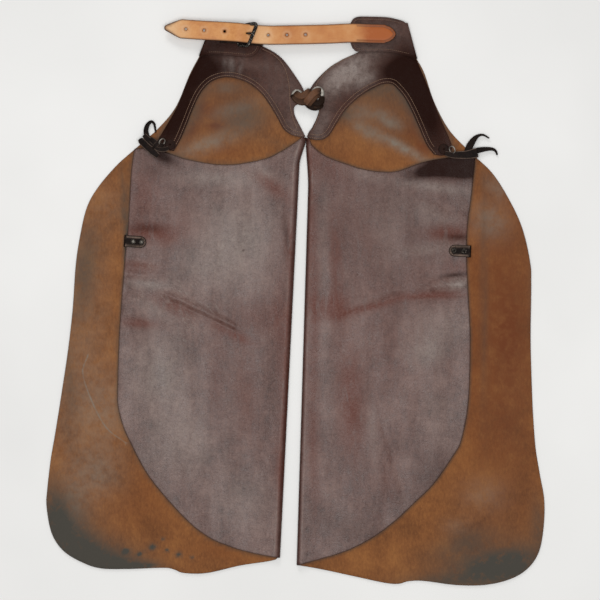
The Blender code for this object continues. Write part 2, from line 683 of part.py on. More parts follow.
def make_chape():
    """The leather chape: a strip folded round the heel bar and sewn to the left belt end."""
    base = BELT_END_TOP + SEAM_GAP
    radius = BUCKLE_WIRE / 2 + SEAM_GAP + CHAPE_SLACK + THIN_LEATHER
    rest_top = base + 2 * THIN_LEATHER + SEAM_GAP
    fold = Fold(CHAPE_FOLD, -1, radius, base, CHAPE_SETTLE, rest_top)
    width = (mm(CHAPE_FOLD[1]) - mm(CHAPE_FOLD[0])).length
    bend = fold.bend_rows()
    far_upper = fold.bend_end - (CHAPE_LENGTH - radius)
    settled = [fold.bend_end - CHAPE_SETTLE * share for share in SETTLE_ROWS]
    rows = [CHAPE_LENGTH] + bend + settled + [far_upper]
    outline = [Vector((s, 0.0)) for s in rows] + [Vector((s, width)) for s in reversed(rows)]
    inner = [Vector((s, width * share)) for s in bend + settled for share in (0.25, 0.5, 0.75)]
    cut_sheet("buckle_chape", outline, [], inner, lambda s, v: fold.place(s, v, level), THIN_LEATHER,
              "black leather")


def make_snap_tab(side):
    """A small tab wrapped over the flap's outer edge, held by two snaps."""
    tab = SNAP_TABS[side]
    toward = 1 if side == "left" else -1
    under = HIDE_THICKNESS + SEAM_GAP
    top = FLAP_EDGE_TOP + SEAM_GAP + THIN_LEATHER
    radius = (top - under) / 2
    fold = Fold(tab["fold"], toward, radius, under, SNAP_TAB_SETTLE, top)
    width = (mm(tab["fold"][1]) - mm(tab["fold"][0])).length

    bend = fold.bend_rows()
    half = width / 2
    middle = fold.bend_end - (SNAP_TAB_LENGTH - radius) + half
    turns = [math.pi * i / ROUND_END_STEPS for i in range(ROUND_END_STEPS + 1)]
    round_end = [Vector((middle - half * math.sin(a), half - half * math.cos(a))) for a in turns]
    outline = [Vector((SNAP_TAB_TUCK, 0.0))] + [Vector((s, 0.0)) for s in bend] + round_end
    outline += [Vector((s, width)) for s in reversed(bend)] + [Vector((SNAP_TAB_TUCK, width))]
    inner = [Vector((s, width * share)) for s in bend for share in (0.33, 0.67)]

    cut_sheet(side + "_snap_tab", outline, [], inner, lambda s, v: fold.place(s, v, level),
              THIN_LEATHER, "black leather")
    for index, at in enumerate(tab["snaps"]):
        flat = fold.start + fold.inward * at * MM + fold.along * width / 2
        make_disc("%s_snap_%d" % (side, index + 1), flat, RIVET_RADIUS, RIVET_RISE, top + SEAM_GAP,
                  "black iron")


def make_ties():
    """The hip ties: a leather rosette, an iron ring and thongs on each side."""
    for side, centre in ROSETTES.items():
        make_disc(side + "_rosette", mm(centre), ROSETTE_RADIUS, ROSETTE_THICKNESS, YOKE_TOP + SEAM_GAP,
                  "black leather", 20)
    for name, rows in THONGS.items():
        line = smooth_curve([mm(row) for row in rows], THONG_STEP)
        width = max(row[3] for row in rows) * MM
        points = [row.xyz for row in line]
        widths = [row.w for row in line]
        tube(name, points, width, "black leather", widths=widths, flat=THONG_THICKNESS, resolution=1)


def make_tie_ring(side):
    """An iron ring tilted up from the yoke, for the hip tie."""
    centre, turn, tilt = TIE_RINGS[side]
    lift = TIE_RING_RADIUS * math.sin(math.radians(tilt)) + TIE_RING_WIRE / 2
    bpy.ops.mesh.primitive_torus_add(major_radius=TIE_RING_RADIUS, minor_radius=TIE_RING_WIRE / 2,
                                     major_segments=20, minor_segments=8)
    ring = bpy.context.object
    ring.name = side + "_tie_ring"
    ring.data.name = ring.name
    ring.rotation_euler = (math.radians(tilt), 0.0, math.radians(turn))
    ring.location = (*mm(centre), YOKE_TOP + SEAM_GAP + lift)
    for place in list(ring.users_collection):
        place.objects.unlink(ring)
    garment.objects.link(ring)
    finish(ring, "black iron")
    shade_round(ring)


def make_lace():
    """The knotted lace that joins the two eyelets at the centre front."""
    tube("front_lace", smooth_curve([mm(p) for p in FRONT_LACE], THONG_STEP), LACE_DIAMETER, "lace")


clear_scene()
garment = bpy.data.collections.new("leather_chaps")
bpy.context.scene.collection.children.link(garment)
for leg_side in ("left", "right"):
    make_leg(leg_side)
    make_yoke(leg_side)
    make_eyelet(leg_side)
    make_snap_tab(leg_side)
    make_tie_ring(leg_side)
make_strap()
make_chape()
make_buckle()
make_ties()
make_lace()
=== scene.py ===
# Batwing leather chaps laid out flat on a white cotton cloth, back of the legs up, seen from above.
#
# Tables and sizes are in millimetres, and meshes are made in metres. X runs across the garment, Y
# from the hem up to the waist and Z up from the cloth. Each leather panel is drawn as its flat cut
# pattern, folded where the real one is folded, and given its creases, its thickness and its edges.

import math

import bpy
import numpy as np
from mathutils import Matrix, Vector
from mathutils.geometry import delaunay_2d_cdt


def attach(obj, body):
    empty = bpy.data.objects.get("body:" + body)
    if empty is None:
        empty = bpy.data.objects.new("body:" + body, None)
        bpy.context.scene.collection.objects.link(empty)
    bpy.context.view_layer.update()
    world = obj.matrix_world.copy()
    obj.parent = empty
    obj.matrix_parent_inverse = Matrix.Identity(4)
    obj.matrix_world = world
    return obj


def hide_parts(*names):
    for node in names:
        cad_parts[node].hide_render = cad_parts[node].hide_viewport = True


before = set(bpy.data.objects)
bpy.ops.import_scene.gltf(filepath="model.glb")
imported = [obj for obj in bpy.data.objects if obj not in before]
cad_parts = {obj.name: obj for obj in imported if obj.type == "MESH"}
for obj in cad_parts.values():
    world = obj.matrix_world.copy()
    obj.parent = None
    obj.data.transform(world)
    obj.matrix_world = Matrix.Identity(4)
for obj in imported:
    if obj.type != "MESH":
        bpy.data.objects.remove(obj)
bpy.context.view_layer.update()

MM = 0.001

# Leather thicknesses and the heights of the layers
HIDE_THICKNESS = 2.0
YOKE_THICKNESS = 2.4
STRAP_THICKNESS = 3.2
THIN_LEATHER = 1.5
GAP = 0.3
FLAP_LOOSENESS = 0.9
YOKE_BASE = HIDE_THICKNESS + GAP
YOKE_TOP = YOKE_BASE + YOKE_THICKNESS
BELT_END_TOP = YOKE_TOP + GAP + YOKE_THICKNESS
FLAP_TOP = 2 * HIDE_THICKNESS + GAP + FLAP_LOOSENESS
EYELET_HOLE = 5.0
# The hole punched for an eyelet is a little wider than its barrel
EYELET_CUT = EYELET_HOLE + 0.6

# A full-strength mark counts as this much relief, where the points of a mesh are chosen
MARK_RELIEF = 0.1
# Corners of a pattern that lie closer together than this are one
SAME_CORNER = 0.3

# Outlines, each edge from one corner to the next
LEGS = {
    "left": {
        "fold": ((-27, -448), (4, 177)),
        "crotch_shift": (238, 286, 9.2),
        "wing": ((-25, -448), (-45, -454), (-97, -462), (-155, -475), (-195, -475), (-212, -469),
                 (-230, -466), (-293, -468), (-340, -467), (-372, -457), (-405, -437),
                 (-426, -406), (-435, -360), (-434, -330), (-428, -278), (-419, -225),
                 (-400, -103), (-390, -20), (-384, 63), (-377, 111), (-365, 163), (-346, 198),
                 (-314, 236), (-283, 264), (-241, 301), (-209, 340), (-185, 396), (-167, 430)),
        "waist": ((17, 286), (13, 295.5), (8, 305), (0, 321), (-3, 331), (-2, 341), (8, 347),
                  (15, 355), (14, 368),
                  (3, 388), (-27, 427), (-64, 448), (-118, 469), (-146, 482)),
        "flap_top": ((17, 286), (3, 278), (-22, 263), (-52, 249), (-94, 240), (-122, 238),
                     (-150, 240), (-195, 249), (-234, 263), (-258, 267), (-281, 266)),
        "flap_side": ((-281, 266), (-287, 221), (-292, 133), (-298, 69), (-307, -47),
                      (-310.5, -150), (-310, -182), (-302, -215), (-290, -243), (-255, -307),
                      (-198, -374),
                      (-155, -410), (-113, -429), (-70, -441), (-27, -448)),
    },
    "right": {
        "fold": ((2, -461), (22, 195)),
        "crotch_shift": (195, 285, 6.4),
        "wing": ((2, -461), (43, -468), (99, -480), (155, -492), (180, -494), (198, -489.5),
                 (225, -489), (281, -496), (330, -496), (372, -487), (403, -470), (424, -442),
                 (433, -402), (435, -350), (427, -302), (419, -250), (414, -173), (411, -71),
                 (412, 32), (410, 69), (397, 126), (375, 175), (344, 224), (305, 261),
                 (269, 299), (243, 347), (225, 399), (211, 425)),
        "waist": ((19.8, 285), (23.7, 295.4), (29.6, 304), (38, 322), (42, 338), (34, 344), (25, 352),
                  (24, 366),
                  (39, 389), (67, 414), (108, 434), (137, 450), (169, 469), (194, 486)),
        "flap_top": ((19.8, 285), (27, 273), (53, 253), (96, 237), (120, 230), (148, 226),
                     (178, 227), (218, 241), (248, 248), (279, 251), (314, 250)),
        "flap_side": ((314, 250), (307, 184), (300, 130), (299, 66), (304, -33), (305, -77),
                      (302, -173), (290, -241), (276, -269), (242, -318), (209, -351),
                      (176, -382), (136, -412), (92, -435), (48, -449), (2, -461)),
    },
}
YOKES = {
    "left": {
        "fold": ((-169, 429), (-148, 483)),
        "tip": ((16.8, 288.2), (12, 287)),
        "arch": ((12, 287), (0, 289), (-10, 293), (-21, 302), (-33, 324), (-45, 344), (-59, 363),
                 (-76, 378),
                 (-97, 388), (-118, 392), (-137, 389), (-153, 380), (-167, 363), (-179, 338),
                 (-190, 310), (-202, 282), (-213, 263)),
        "hip": ((-213, 263), (-227, 266), (-238, 272)),
        "waist_seam": ((-58, 441), (-37, 430), (-20, 410), (-12, 383), (-10, 356), (-9, 340),
                       (-5, 322), (2, 303)),
        "outer": ((-238, 272), (-240, 281), (-231, 297), (-207, 339), (-186, 390), (-168, 425)),
        "belt_end": ((-148, 483), (-115, 480), (-83, 477), (-69, 472), (-62, 461), (-62, 446),
                     (-68, 434), (-82, 427), (-120, 430), (-146, 431), (-169, 429)),
    },
    "right": {
        "fold": ((213, 424), (196, 487)),
        "tip": ((20.2, 287.4), (24, 284.5)),
        "arch": ((24, 284.5), (34, 282.6), (45, 282.6), (53, 286), (61, 293.5), (74, 315), (85, 332),
                 (99, 347), (116, 361),
                 (136, 373), (153, 380), (168, 380), (179, 371), (191, 356), (203, 334),
                 (215, 307), (229, 275), (242, 257)),
        "hip": ((242, 257), (256, 255), (270, 259)),
        "waist_seam": ((99, 429), (80, 420), (60, 407), (44, 390), (35, 374), (35, 350), (42, 332),
                       (36, 312), (31, 300)),
        "outer": ((270, 259), (273, 270), (266, 290), (247, 333), (229, 380), (212, 420)),
        "belt_end": ((197.5, 481), (195, 484.5), (190, 488), (179, 492), (160, 496), (134, 497),
                     (111, 497), (101, 493),
                     (96, 483), (95, 468), (97, 450), (102, 440), (113, 436), (165, 435),
                     (213, 424)),
    },
}

# Creases and swells of each flap: rise as a share of CREASE_RISE, half width, sharpness (2 is soft,
# 1 is a crisp line) and the line that each follows
CREASE_RISE = 1.35
CREASES = {
    "left": (
        (1.9, 4.8, 2.0, ((-240, 18), (-188, -4), (-144, -25), (-94, -50))),
        (-0.9, 5.0, 1.6, ((-222, 26), (-184, 8), (-140, -12), (-110, -28))),
        (-1.0, 2.8, 1.2, ((-232, 6), (-192, -12), (-146, -33), (-98, -56))),
        (-0.4, 2.6, 1.2, ((-190, 26), (-160, 6), (-140, -4))),
        (-1.0, 4.0, 1.1, ((-299, 49), (-278, 46), (-258, 43))),
        (-0.9, 3.5, 1.1, ((-299, 23), (-285, 19), (-272, 12))),
        (-1.0, 5.0, 1.3, ((-303, -33), (-280, -36), (-258, -40))),
        (-0.7, 3.0, 1.1, ((-295, 76), (-268, 68), (-238, 64))),
        (1.7, 10.0, 2.0, ((-300, 37), (-270, 33), (-240, 30))),
        (1.5, 9.0, 2.0, ((-301, 62), (-272, 57), (-246, 54))),
        (1.3, 9.0, 2.0, ((-302, 6), (-280, 3), (-262, -2))),
        (1.2, 12.0, 2.0, ((-304, -15), (-262, -20))),
        (1.0, 14.0, 2.0, ((-304, -54), (-250, -60))),
        (-0.9, 8.0, 1.6, ((-291, 126), (-240, 128))),
        (1.5, 14.0, 2.0, ((-288, 149), (-215, 146))),
        (-0.8, 11.0, 1.8, ((-76, 234), (-45, 208), (-14, 185))),
        (-0.8, 7.0, 1.5, ((-11, 158), (-17, 120), (-22, 85))),
        (-0.5, 2.6, 1.1, ((-147, 222), (-160, 204), (-178, 181))),
        (-0.45, 2.4, 1.1, ((-153, -158), (-128, -192), (-103, -226))),
        (-0.40, 2.6, 1.2, ((-57, -259), (-44, -285), (-30, -311))),
        (-0.40, 2.4, 1.2, ((-98, -309), (-99, -334))),
        (-0.40, 2.4, 1.2, ((-169, -373), (-151, -382))),
        (-0.6, 6.0, 1.6, ((-158, -69), (-156, -90), (-151, -112))),
        (-0.5, 3.0, 1.1, ((-238, -37), (-213, -40))),
        (1.0, 16.0, 2.0, ((-120, 200), (-140, 150), (-165, 100))),
    ),
    "right": (
        (-1.0, 4.5, 1.1, ((58, -38), (83, -28), (117, -13), (157, 2), (187, 12))),
        (0.9, 10.0, 2.0, ((80, -12), (117, 2), (157, 17), (200, 29))),
        (-1.1, 4.5, 1.2, ((183, 11), (215, 12), (243, 12), (277, 11), (304, 15))),
        (2.4, 8.0, 2.0, ((228, 26), (266, 30), (286, 30), (304, 31))),
        (-0.9, 4.0, 1.1, ((262, 43), (282, 46), (302, 49))),
        (-0.5, 2.2, 1.1, ((226, 25), (245, 29), (266, 33))),
        (0.8, 12.0, 2.0, ((190, -12), (240, -10), (296, -8))),
        (1.3, 9.0, 2.0, ((190, 75), (240, 86), (300, 99))),
        (-1.0, 10.0, 1.7, ((239, 120), (270, 119), (303, 117))),
        (1.3, 14.0, 2.0, ((228, 152), (262, 146), (304, 142))),
        (-0.5, 3.0, 1.1, ((209, 180), (235, 178), (259, 166), (268, 155))),
        (1.5, 12.0, 2.0, ((130, -197), (151, -251), (164, -302), (181, -357))),
        (-0.8, 9.0, 1.6, ((144, -205), (166, -258), (180, -308), (195, -345))),
        (0.9, 18.0, 2.0, ((70, 210), (80, 120), (76, 30))),
    ),
}
# Where the flap is lifted clear of the suede: middle, radius and height
LIFTS = {
    "left": ((-262, 262, 48, 2.4), (-292, 105, 34, 1.5)),
    "right": ((306, 250, 62, 2.7), (300, 87, 32, 1.5)),
}
# How wide the roll of each leg's fold is, and how high it stands
FOLD_ROLLS = {"left": (7.0, 4.6), "right": (5.0, 4.4)}

# Soft oval marks: middle, half length, half width, direction in degrees and strength. Worn marks
# are red-brown wear. Paling marks are paler leather, and on the smooth leather they are painted sheen
# where the wax would catch the light. Darkening marks are dirt and dye, and also painted shade where
# the leather tilts away from the light or lies in the shadow of what is on it.
WORN, PALING_AND_SHEEN, DARKENING_AND_SHADE, CREASED = "worn", "dusty", "sooty", "creased"
FLAP_MARKS = {
    "left": {
        WORN: ((-262, 190, 60, 34, 80, 0.55), (-262, 122, 44, 16, 0, 0.9), (-225, 110, 26, 18, 0, 0.5),
               (-275, 60, 34, 12, -8, 0.7), (-215, -8, 46, 14, -22, 0.75), (-110, -58, 36, 8, -26, 0.8),
               (-275, -38, 34, 9, -4, 0.8), (-45, 205, 44, 13, -38, 0.75), (-12, 100, 9, 66, 3, 0.6),
               (-20, -120, 16, 200, 3, 0.55), (-60, -30, 60, 30, 0, 0.45), (-85, -160, 28, 90, 4, 0.4),
               (-28, -300, 14, 60, 4, 0.5), (-140, -140, 14, 90, 0, 0.35), (-195, 140, 30, 30, 0, 0.3)),
        PALING_AND_SHEEN: ((-100, 110, 70, 70, 40, 0.75), (-130, 215, 70, 16, -4, 0.6), (-150, 60, 50, 40, 0, 0.4),
                (-240, -130, 50, 70, 10, 0.7), (-200, -250, 60, 60, 40, 0.55), (-255, 28, 40, 9, -4, 0.7),
                (-245, -10, 36, 14, -30, 0.5), (-60, 225, 26, 12, -30, 0.7), (-90, -350, 60, 50, 0, 0.35),
                (-210, 262, 16, 7, 0, 0.7)),
        DARKENING_AND_SHADE: ((-232, 254, 28, 13, -30, 1.1), (-262, 128, 30, 7, 0, 0.5), (-17, 122, 5, 40, 6, 0.45),
                (-91, 89, 2.6, 1.8, 40, 0.8), (-250, 230, 30, 14, -20, 0.3)),
        CREASED: ((-204, 22, 30, 15, -38, 1.1), (-224, -4, 26, 12, -36, 1.1),
                  (-160, -6, 28, 12, -38, 1.1),
                  (-186, -36, 34, 14, -30, 1.0), (-200, -62, 22, 14, -42, 0.9),
                  (-130, -10, 14, 10, 0, 0.8),
                  (-252, 58, 26, 12, -18, 0.8), (-266, 4, 20, 26, 0, 0.6), (-152, -110, 12, 26, 0, 0.5)),
    },
    "right": {
        WORN: ((32, 60, 9, 230, 1, 0.6), (70, 66, 12, 100, 2, 0.6), (170, 20, 120, 260, 0, 0.3),
               (96, -180, 22, 100, 2, 0.9), (60, -10, 34, 22, 0, 0.8),
               (130, -10, 60, 7, 14, 0.7), (245, 11, 60, 7, 2, 0.8), (270, 119, 40, 14, 0, 1.0),
               (290, 225, 22, 12, 0, 0.6), (60, 235, 44, 24, -30, 0.5), (30, -250, 10, 150, 2, 0.5),
               (110, 130, 30, 70, 10, 0.3), (285, 60, 24, 12, 0, 0.5), (150, -300, 20, 60, 12, 0.3)),
        PALING_AND_SHEEN: ((240, 200, 60, 9, -8, 0.9), (150, 130, 60, 70, 0, 0.35), (285, 30, 18, 9, 0, 1.0),
                (230, -86, 34, 26, 20, 0.9), (255, -40, 60, 30, 0, 0.5), (240, 150, 44, 20, -30, 0.5),
                (138, -250, 10, 70, 8, 0.4), (50, 60, 10, 180, 0, 0.25), (230, 92, 60, 10, 12, 0.5),
                (250, -190, 40, 60, 0, 0.3), (118, 222, 40, 10, -8, 0.4)),
        DARKENING_AND_SHADE: ((276, 234, 44, 15, -4, 2.2), (304, 240, 26, 20, 0, 2.0), (232, 226, 38, 11, 10, 1.1),
                (170, 150, 150, 110, 0, 0.16),
                (280, 46, 24, 4, 6, 0.8), (250, -300, 60, 40, 50, 0.35), (120, -400, 90, 30, -14, 0.3),
                (285, 112, 20, 6, 0, 0.6)),
        CREASED: ((240, 27, 34, 8, 8, 1.0), (286, 32, 18, 12, 0, 1.1), (290, 168, 18, 34, 30, 0.6),
                  (225, -86, 34, 28, 30, 0.8), (262, 92, 34, 12, 16, 0.4), (160, 150, 30, 40, 0, 0.2)),
    },
}
SUEDE_MARKS = {
    "left": {
        WORN: ((-154, 335, 12, 18, 50, 0.8), (-140, 306, 20, 9, 10, 1.0), (-182, 298, 9, 26, -30, 0.8),
               (-120, 262, 50, 12, 0, 0.4), (-130, 340, 60, 60, 0, 0.4),
               (-250, -330, 90, 60, 40, 0.3), (-120, -440, 60, 16, -8, 0.3),
               (-300, -440, 6, 4, 0, 0.9)),
        PALING_AND_SHEEN: ((-105, 336, 40, 12, 15, 0.6), (-121, 373, 16, 8, 0, 0.4), (-155, 275, 50, 14, 20, 0.75),
                (-93, 310, 30, 18, 20, 0.3), (-320, 170, 30, 40, 40, 0.15), (-330, -190, 50, 60, 0, 0.35),
                (-345, -300, 40, 40, 30, 0.4), (-390, -360, 22, 50, 0, 0.4),
                (-380, -80, 60, 300, 0, 0.3)),
        DARKENING_AND_SHADE: ((-110, 332, 100, 60, 0, 0.28), (-118, 374, 70, 16, 0, 0.2),
                (-183, 320, 54, 14, 66, 0.5), (-30, 275, 40, 8, -20, 0.2),
                (-396, -408, 70, 44, -50, 0.9), (-340, -452, 76, 36, -6, 0.8),
                (-420, -360, 24, 60, 8, 0.55),
                (-296, -466, 50, 18, 0, 0.6), (-364, 80, 26, 60, -8, 0.4), (-374, 20, 20, 70, -6, 0.4),
                (-398, -120, 12, 90, 8, 0.4), (-86, 320, 44, 24, 20, 0.4),
                (-297, -437, 5, 4, 0, 1.4), (-273, -442, 5, 3, 20, 1.2), (-250, -430, 6, 5, 30, 1.4),
                (-225, -435, 3.4, 2.6, 0, 1.1), (-204, -443, 5, 4, 0, 1.3), (-232, -416, 3, 2.6, 0, 0.9),
                (-298, 130, 5, 110, 3, 0.7), (-180, -448, 3, 3, 0, 0.8), (-260, -462, 24, 5, 0, 0.6),
                (-120, 375, 60, 7, 0, 0.15)),
    },
    "right": {
        WORN: ((205, 328, 9, 20, 30, 0.6), (224, 268, 16, 14, -40, 0.9), (206, 297, 18, 18, -30, 0.6),
               (360, -200, 80, 220, 0, 0.6), (360, 60, 70, 190, 0, 0.6), (120, 250, 50, 12, -10, 0.3),
               (150, 330, 70, 60, 0, 0.35),
               (380, -60, 24, 60, 0, 0.4)),
        PALING_AND_SHEEN: ((153, 322, 26, 12, -20, 0.7), (172, 308, 16, 9, -10, 0.5), (178, 274, 62, 8, -30, 1.0),
                (120, 297, 26, 8, -36, 0.7), (340, 140, 34, 30, -40, 0.6), (282, -395, 26, 18, 0, 0.25),
                (350, 200, 24, 14, -50, 0.5), (110, 330, 20, 14, 0, 0.5), (330, -340, 40, 30, 0, 0.3)),
        DARKENING_AND_SHADE: ((140, 330, 90, 60, 0, 0.26), (150, 364, 60, 20, 0, 0.3),
                (214, 315, 50, 12, -66, 0.45), (380, -100, 60, 330, 0, 0.12),
                (335, -474, 90, 44, 2, 0.8), (396, -452, 50, 38, 45, 0.4),
                (352, -456, 60, 22, 6, 0.4), (245, -492, 70, 16, 2, 0.5),
                (426, -392, 14, 50, 4, 0.5), (150, 374, 60, 12, 4, 0.3), (190, 350, 16, 26, 30, 0.25),
                (88, 328, 16, 12, 40, 0.45), (300, -420, 60, 20, 20, 0.5), (418, 30, 8, 90, 0, 0.5),
                (330, 20, 6, 200, 0, 0.35)),
    },
}
# The one long scratch in the nap
SCRATCHES = {
    "left": ((-363, -94), (-372, -127), (-353, -182), (-330, -222), (-298, -247)),
}
# On the yokes the paling marks are painted sheen, and the darkening marks at the hips and over the left
# belt end are painted shade
YOKE_MARKS = {
    "left": {
        WORN: ((-30, 385, 40, 22, -50, 0.4), (0, 320, 22, 24, -60, 0.5), (-60, 420, 50, 20, -20, 0.3)),
        PALING_AND_SHEEN: ((-20, 380, 40, 26, -55, 0.35), (-2, 312, 14, 30, 20, 0.5), (-70, 415, 50, 10, -10, 0.3),
                (-112, 412, 5, 12, 5, 0.9), (-124, 414, 3.5, 12, 0, 0.7), (-96, 408, 3, 12, -8, 0.5)),
        DARKENING_AND_SHADE: ((-205, 330, 34, 90, -24, 1.2), (-165, 410, 36, 30, -20, 0.9), (-130, 405, 40, 10, 0, 0.4),
                (-110, 452, 60, 24, 0, 0.6)),
    },
    "right": {
        WORN: ((80, 370, 30, 30, 40, 0.3), (150, 410, 40, 20, 0, 0.3), (60, 300, 20, 24, 50, 0.4)),
        PALING_AND_SHEEN: ((98, 404, 42, 20, 28, 1.5), (70, 380, 26, 18, 44, 0.9), (46, 308, 12, 30, -20, 0.6),
                (124, 388, 26, 9, 28, 0.9), (150, 470, 60, 26, 0, 0.3)),
        DARKENING_AND_SHADE: ((225, 340, 30, 90, 22, 1.2), (200, 405, 40, 34, 20, 1.0), (165, 400, 30, 20, 0, 0.6)),
    },
}

# The strap's middle line, with the height of its underside, and its two ends as half outlines:
# distance in from that end, and distance from the middle line
STRAP_LINE = (
    (-228, 477.5, 7.6), (-202, 475.5, 8.8), (-176, 473.5, 10.2), (-153, 472, 11.5),
    (-130, 470.8, 12.2), (-114, 469.6, 14.0), (-101, 468.4, 16.9), (-93, 467.6, 16.3),
    (-86, 467, 14.2), (-80, 466.4, 12.5), (-73, 465.8, 11.3), (-60, 464.8, 9.8),
    (-40, 464.2, 8.6), (-10, 464.8, 7.8), (25, 465.4, 7.7), (60, 466.4, 7.8), (99, 468, 8.0),
    (134, 467, 8.0), (174.6, 466, 8.0),
)
STRAP_TIP = ((0, 0), (0.8, 2.6), (2.7, 4.2), (15, 10), (24, 14), (29, 15.6))
STRAP_BUTT = ((20, 15.6), (10.2, 12), (4.5, 7.8), (1.5, 4), (0, 0))
STRAP_HOLES = (37, 69, 105, 181, 213.5, 246)
STRAP_HOLE_RADIUS = 3.3
# How far in from the butt the stitching starts, and where the buckle's tongue goes through: start,
# end and half width of its slot
STRAP_SEAM_LENGTH = 68
TONGUE_SLOT = (140.5, 151.0, 2.6)

# The buckle
HEEL_BAR = (-100.5, 463.6, 11.8)
FRONT_BAR = (-74.4, 464.6, 19.8)
FRONT_BAR_LEAN = 8.0
HEEL_HALF_WIDTH = 17.0
BUCKLE_HALF_WIDTH = 20.0
BUCKLE_SQUARENESS = 0.3
BUCKLE_WIRE = 4.6
TONGUE_LINE = (
    (-95.6, 467.2, 12.0), (-90.5, 467.3, 12.2), (-86.4, 467.1, 14.6), (-83.6, 466.9, 18.6),
    (-80.0, 466.6, 22.4), (-76.5, 466.2, 24.0), (-73.5, 465.9, 23.6), (-72.0, 465.7, 22.8),
)
CHAPE_FOLD = ((-96.1, 452), (-96.5, 478))
CHAPE_LENGTH = 35

EYELETS = {"left": ((3, 360), 10.8), "right": ((39, 364), 12.0)}
SNAP_TABS = {
    "left": {"fold": ((-300.5, 95.4), (-299, 115.6)), "snaps": (16.5, 31), "cap": "bright"},
    "right": {"fold": ((307.5, 97.2), (306.5, 76.8)), "snaps": (12.5, 30), "cap": "dull"},
}
# Length of a tab over the flap and under it
SNAP_TAB_LENGTH = 39
SNAP_TAB_UNDER = 11
ROSETTES = {"left": (-219, 274), "right": (259, 266)}
TIE_RINGS = {"left": ((-233, 278), 52, 52), "right": ((273.5, 264.5), -62, 48)}

# Thongs of the hip ties: the middle line and the width there
THONGS = {
    "left_tie_band": ((-271, 283, 9.5, 9), (-268, 278.5, 9.5, 11.5), (-259, 270, 9.5, 12),
                      (-249, 261, 9.5, 12), (-241, 254, 9.4, 10)),
    "left_tie_loop": ((-264, 290, 9.6, 8), (-259, 284, 10.6, 10.5), (-250, 275.5, 11.2, 11),
                      (-241, 268, 10.8, 10.5), (-231, 265, 9.6, 9), (-222, 267, 9.2, 7)),
    "left_tie_tail": ((-257, 284, 6.6, 9), (-260.5, 292, 5.6, 9), (-261.2, 300, 4.8, 8.4),
                      (-258, 309, 4.0, 7), (-252, 314, 3.6, 5), (-247.5, 311, 3.4, 4.2),
                      (-245.5, 304, 3.2, 3.6), (-244.5, 296, 3.2, 2.6)),
    "right_tie_band": ((262, 258, 9.4, 8), (274, 255.5, 9.7, 11), (286, 255.5, 9.7, 13),
                       (300, 256, 9.7, 14.5), (311, 258, 9.7, 17), (317, 259.5, 9.6, 17)),
    "right_upper_tail": ((299, 258, 6.8, 10), (302.5, 267, 6.4, 12), (307.5, 276.5, 5.4, 11.5),
                         (314, 285, 4.6, 8.5), (321, 290, 4.2, 5), (329, 290.5, 3.8, 3.6),
                         (338, 285.5, 3.4, 2.6)),
    "right_lower_tail": ((308, 260.5, 6.8, 8), (317, 263.2, 5.8, 10), (328, 265.4, 4.6, 8.6),
                         (340, 266.4, 3.8, 6.2), (347.5, 264.8, 3.5, 4.8), (351, 261, 3.4, 3.8),
                         (352.5, 256.5, 3.2, 2.8)),
}
# The left tie's thong is knotted beside its ring: the knot's strands, in the same way
TIE_KNOT = (
    ((-254, 284, 9.6, 8), (-248, 279, 12.4, 11), (-240, 273.5, 12.2, 11), (-232, 272, 10.0, 8)),
    ((-248, 268, 11.4, 6), (-243, 273, 13.6, 8), (-238, 279, 12.2, 7), (-236, 283, 10.0, 5)),
)
THONG_THICKNESS = 2.4
# Sides of a thong's section, and which of their corners are the two upper ones
THONG_SIDES = 16
THONG_CORNERS = (1, 6)

# Strands of the front lace and its knot: middle line, width, thickness and how darkened, by dirt and by
# painted shade
LACE_STRANDS = (
    (((-3, 361, 4.5), (0, 356, 9.0), (5, 351, 10.6), (11, 348.5, 10.8),
      (17, 349, 10.0)), 13.5, 5.0, 0.55),
    (((0, 364, 4.5), (4, 360, 10.4), (10, 358, 12.6), (16, 360, 13.4), (21, 364, 12.6),
      (25, 367, 9.0)), 12, 5.4, 0.2),
    (((43, 366.5, 4.0), (40, 367, 9.6), (35, 365, 13.2), (29, 360, 15.0), (23, 353, 14.6),
      (17.5, 346, 10.5)), 12, 4.8, 0.0),
    (((42, 359, 9.0), (36, 356.5, 12.6), (31, 351, 13.8), (26, 345, 12.0),
      (22, 341, 9.0)), 7.5, 4.4, 0.45),
    (((27, 352, 9.0), (32, 346.5, 12.2), (39, 344.5, 12.4), (45, 348, 11.4),
      (46, 356, 9.0)), 10, 5.0, 1.3),
    (((19, 346, 7.4), (24, 340.5, 9.4), (31, 337.5, 9.8), (39, 338, 9.6), (45.5, 343, 8.6)), 9, 4.8, 1.2),
    (((24, 347, 8.0), (33, 343, 9.0), (42, 343.5, 8.6)), 14, 8.0, 1.5),
    (((29, 342, 9.4), (35, 339.5, 11.2), (41, 341, 10.6)), 6, 4.0, 0.9),
)

# The cloth reaches past every view
FLOOR_REACH = 30000

# The camera, in metres: it looks straight down from high up, and the photograph is this wide
CAMERA_HEIGHT = 4.5
FRAME_WIDTH = 1.05
FRAME_MIDDLE = (0.0079, 0.0022)


# Curves and distances

def smooth_step(amount):
    """0 below 0, 1 above 1, and an even S between."""
    amount = np.clip(amount, 0.0, 1.0)
    return amount * amount * (3.0 - 2.0 * amount)


def smooth_curve(rows, step):
    """Points about one step apart along a smooth curve through the rows of a table."""
    rows = np.array(rows, float)
    ends = np.vstack([2 * rows[0] - rows[1], rows, 2 * rows[-1] - rows[-2]])
    parts = []
    for before, start, end, after in zip(ends, ends[1:], ends[2:], ends[3:]):
        count = max(1, int(round(np.linalg.norm((end - start)[:2]) / step)))
        t = (np.arange(count) / count)[:, None]
        parts.append(0.5 * (2 * start + (end - before) * t
                            + (2 * before - 5 * start + 4 * end - after) * t ** 2
                            + (3 * start - before - 3 * end + after) * t ** 3))
    return np.vstack(parts + [rows[-1:]])


